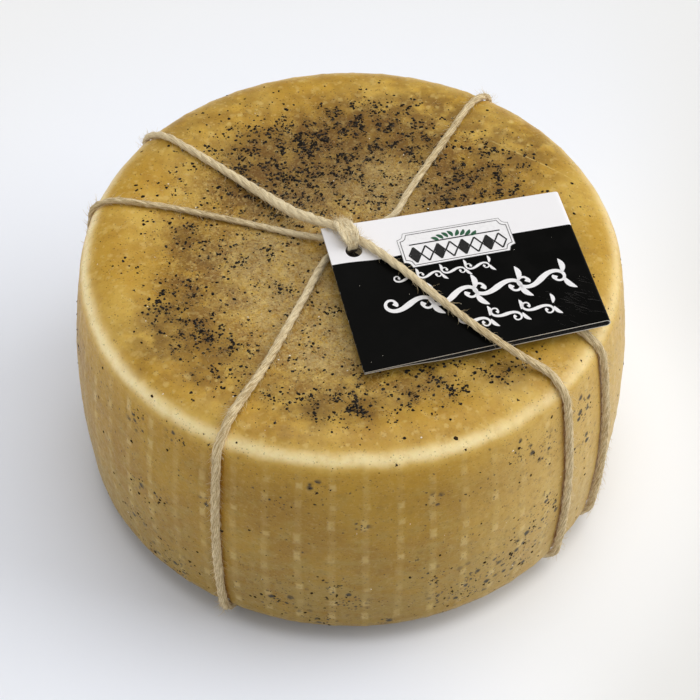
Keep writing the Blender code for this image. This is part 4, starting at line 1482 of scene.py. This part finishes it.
def knotBundles():
    chance = random.Random(knot["seed"])
    places = evenPoints(closedCurve([(*p, 0.0) for p in knotLoop()]), 0.8)
    count, bundles = len(places), []
    for b in range(knot["bundles"]):
        lane = -1.0 + 2.0 * (b + 0.5) / knot["bundles"]
        outer = 0.45 if b % 2 else 0.1
        phase = chance.uniform(0, 6.28)
        points = []
        for k, place in enumerate(places):
            before, after = places[k - 1], places[(k + 1) % count]
            heading = Vector((after[1] - before[1], after[2] - before[2])).normalized()
            outward = down * -heading[1] + Vector((0.0, 0.0, heading[0]))
            middle = tagPlace(tag["hole"][0] + place[0] * mm, place[1] * mm, wheel["height"] + place[2] * mm)
            half, thick = knotHalves(place.xyz)
            turn = 2 * math.pi * k / count
            across = lane + knot["slant"] * math.sin(turn + 0.6) * (1 - abs(lane))
            bow = math.sqrt(max(0.0, 1.0 - across * across))
            wobble = knot["wobble"] * softNoise(math.cos(turn) * 2, math.sin(turn) * 2, b * 1.7 + phase, 1.0)
            middle += along * (across * (half - 0.35 * mm) + wobble)
            middle += outward * (thick * (outer + 0.25) * bow + 0.6 * wobble)
            size = 0.8 + 0.35 * half / (3.4 * mm) + 0.15 * math.sin(3 * turn + phase)
            points.append((*middle, size))
        bundles.append(points)
    return bundles


bundleRadius = knot["bundleRadius"]
knotMesh = twisted("knot_wrap", knotBundles(), knotMaterial, 2, bundleRadius * 0.8, bundleRadius * 0.42,
                   9 * mm, 15)
strings.append(finished(knotMesh, "jute", "knot"))


def storeFuzz(thing, amount, more):
    # how thickly a string is haired: more so near the knot, less over the tag, bare underneath
    middle = tagPlace(*tag["hole"], cardHeight(*tag["hole"]))
    values = []
    for vertex in thing.data.vertices:
        away = (vertex.co - middle).length
        here = amount + more * math.exp(-((away / (18 * mm)) ** 2))
        overCard = vertex.co.x > 6 * mm and vertex.co.y < -2 * mm and vertex.co.z > wheel["height"] + 4 * mm
        low = vertex.co.z < 4 * mm or (away < 12 * mm and vertex.co.z < middle.z + 0.4 * mm)
        values.append(0.0 if low else here * (0.4 if overCard else 1.0))
    pointAttribute(thing.data, "fuzz", values)


fuzzes = (("twine_long_fuzz", 0.85, 1.3, 31), ("twine_cross_fuzz", 0.95, 0.9, 37),
          ("knot_fuzz", 2.4, 0.0, 43))
for string, (name, amount, more, seed) in zip(strings, fuzzes):
    storeFuzz(string, amount, more)
    strew(name, string, hairShape, hairMaterial, "jute", Where="fuzz", Per_Square_Metre=700000.0,
          Smallest=0.6 * mm,
          Largest=4.0 * mm, Size_Bias=2.8, Spin_From=-1.1, Spin_To=1.1, Lean_From=-0.6, Lean_To=-0.03,
          Crumple=1.2 * mm, Crumple_Size=1.4 * mm, Seed=seed)


def storeTagDensities(card):
    # where the card is dusty and scratched
    mesh = card.data
    heading = mesh.attributes.new("heading", "FLOAT_VECTOR", "POINT")
    heading.data.foreach_set("vector", np.tile(along * 0.8 + down * 0.6, len(mesh.vertices)))
    scratch, dust = [], []
    for vertex in mesh.vertices:
        away = vertex.co - Vector((*tag["corner"], 0.0))
        u, w = away.dot(along) / mm, away.dot(down) / mm
        upper = abs(vertex.co.z - (cardHeight(u * mm, w * mm) + tag["thickness"] / 2)) < 0.05 * mm
        scratch.append(math.exp(-(((u - 76) / 6) ** 2 + ((w - 49) / 8) ** 2)) if upper else 0.0)
        dust.append(0.35 if upper and w > 17 else 0.0)
    pointAttribute(mesh, "scratch", scratch)
    pointAttribute(mesh, "dust", dust)


scratchMaterial = mottledMaterial("scratches", 2 * mm, paint(52, 50, 48), paint(96, 92, 88), 0.6)
storeTagDensities(tagCard)
scratchShape = makeHairShape("scratchShape", 2, 0.01, 0.012)
strew("tag_scratches", tagCard, scratchShape, scratchMaterial, "card", Where="scratch",
      Per_Square_Metre=600000.0,
      Smallest=0.6 * mm, Largest=5.0 * mm, Size_Bias=2.2, Spin_From=-0.25, Spin_To=0.25, Lean_From=-0.01,
      Lean_To=0.0,
      Crumple=0.2 * mm, Crumple_Size=2 * mm, Seed=51)
strew("tag_dust", tagCard, speckShape, crystalMaterial, "card", Where="dust", Per_Square_Metre=12000.0,
      Smallest=0.12 * mm, Largest=0.42 * mm, Size_Bias=2.5, Crumple=0.1 * mm, Crumple_Size=0.3 * mm, Seed=61)

for shape in (speckShape, hairShape, scratchShape):
    bpy.data.objects.remove(shape, do_unlink=True)


studio = {
    "floor": 2.4,
    "paper": paint(232, 232, 232),
    # painted light near the wheel, bluish against the warm light the rind throws, brighter still on the
    # right; painted shade far right; a painted contact shadow
    "paperNearLight": paint(238, 242, 251),  # cancels the warm light that the rind throws on the paper
    "paperRightLight": paint(250, 252, 255),  # and is brighter towards the lamp
    "paperFarRightShade": paint(228, 228, 227),
    "paperContactShadow": paint(120, 120, 124),  # the thin dark line where the wheel stands
    "worldLight": 0.35,
    # each lamp: azimuth and height in degrees, angle, and its light on the floor
    "lamps": {"overhead": (60.0, 78.0, 50.0, 0.35), "right": (6.0, 27.0, 54.0, 0.26),
              "left": (172.0, 18.0, 50.0, 0.085), "card": (-25.0, 16.0, 100.0, 0.03)},
    "cameraPlace": (0.0, -686.8 * mm, 854.0 * mm),
    "cameraAim": (-0.18 * mm, -1.75 * mm, 48.94 * mm),
    "lens": 151.52,
}


def makePaper():
    mat, shader, place = newMaterial("paper", Roughness=0.9, Specular_IOR_Level=0.0)
    away = vectors("LENGTH", place, output="Value")
    rightward = vectors("DOT_PRODUCT", place, (0.98, -0.2, 0.0), output="Value")
    turned = between(rightward / away, 0.15, 0.85)
    nearColour = layer(turned, studio["paperNearLight"], studio["paperRightLight"])
    farColour = layer(turned, studio["paper"], studio["paperFarRightShade"])
    near = between(away, scaled(turned, -0.13, 0.30), scaled(turned, -0.01, 0.11))
    # a painted contact shadow round the wheel's foot, painted light near the wheel and painted shade far to
    # the right
    contactShadow = between(away, 0.0975, 0.0905) * 0.26
    colour = layer(contactShadow, layer(near, farColour, nearColour), studio["paperContactShadow"])
    join(colour, shader, "Base Color")
    return mat


def pointed(thing, towards):
    # turned so that its -Z looks along the direction
    bpy.context.scene.collection.objects.link(thing)
    thing.rotation_mode = "QUATERNION"
    thing.rotation_quaternion = towards.to_track_quat("-Z", "Y")


def makeStudio():
    half, scene = studio["floor"] / 2, bpy.context.scene
    corners = [(-half, -half, 0.0), (half, -half, 0.0), (half, half, 0.0), (-half, half, 0.0)]
    floor = meshObject("floor", corners, [(0, 1, 2, 3)], [makePaper()], smoothed=False)
    scene.world = bpy.data.worlds.new("studio")
    scene.world.use_nodes = True
    background = scene.world.node_tree.nodes["Background"]
    background.inputs["Color"].default_value = (1.0, 1.0, 1.0, 1.0)
    background.inputs["Strength"].default_value = studio["worldLight"]
    for name, (azimuth, height, angle, onFloor) in studio["lamps"].items():
        lamp = bpy.data.lights.new(name, "SUN")
        azimuth, height = math.radians(azimuth), math.radians(height)
        lamp.energy, lamp.angle = onFloor * math.pi / math.sin(height), math.radians(angle)
        lamp.use_shadow = name != "left"  # the reflector on the left only fills in
        flat = math.cos(height)
        towards = Vector((math.cos(azimuth) * flat, math.sin(azimuth) * flat, math.sin(height)))
        pointed(bpy.data.objects.new(name, lamp), -towards)
    lens = bpy.data.cameras.new("camera")
    lens.lens, lens.sensor_width = studio["lens"], 36.0
    lens.clip_start, lens.clip_end = 0.05, 10.0
    scene.camera = bpy.data.objects.new("camera", lens)
    scene.camera.location = studio["cameraPlace"]
    pointed(scene.camera, Vector(studio["cameraAim"]) - scene.camera.location)
    scene.view_settings.view_transform = "Standard"


makeStudio()
print("studio set")
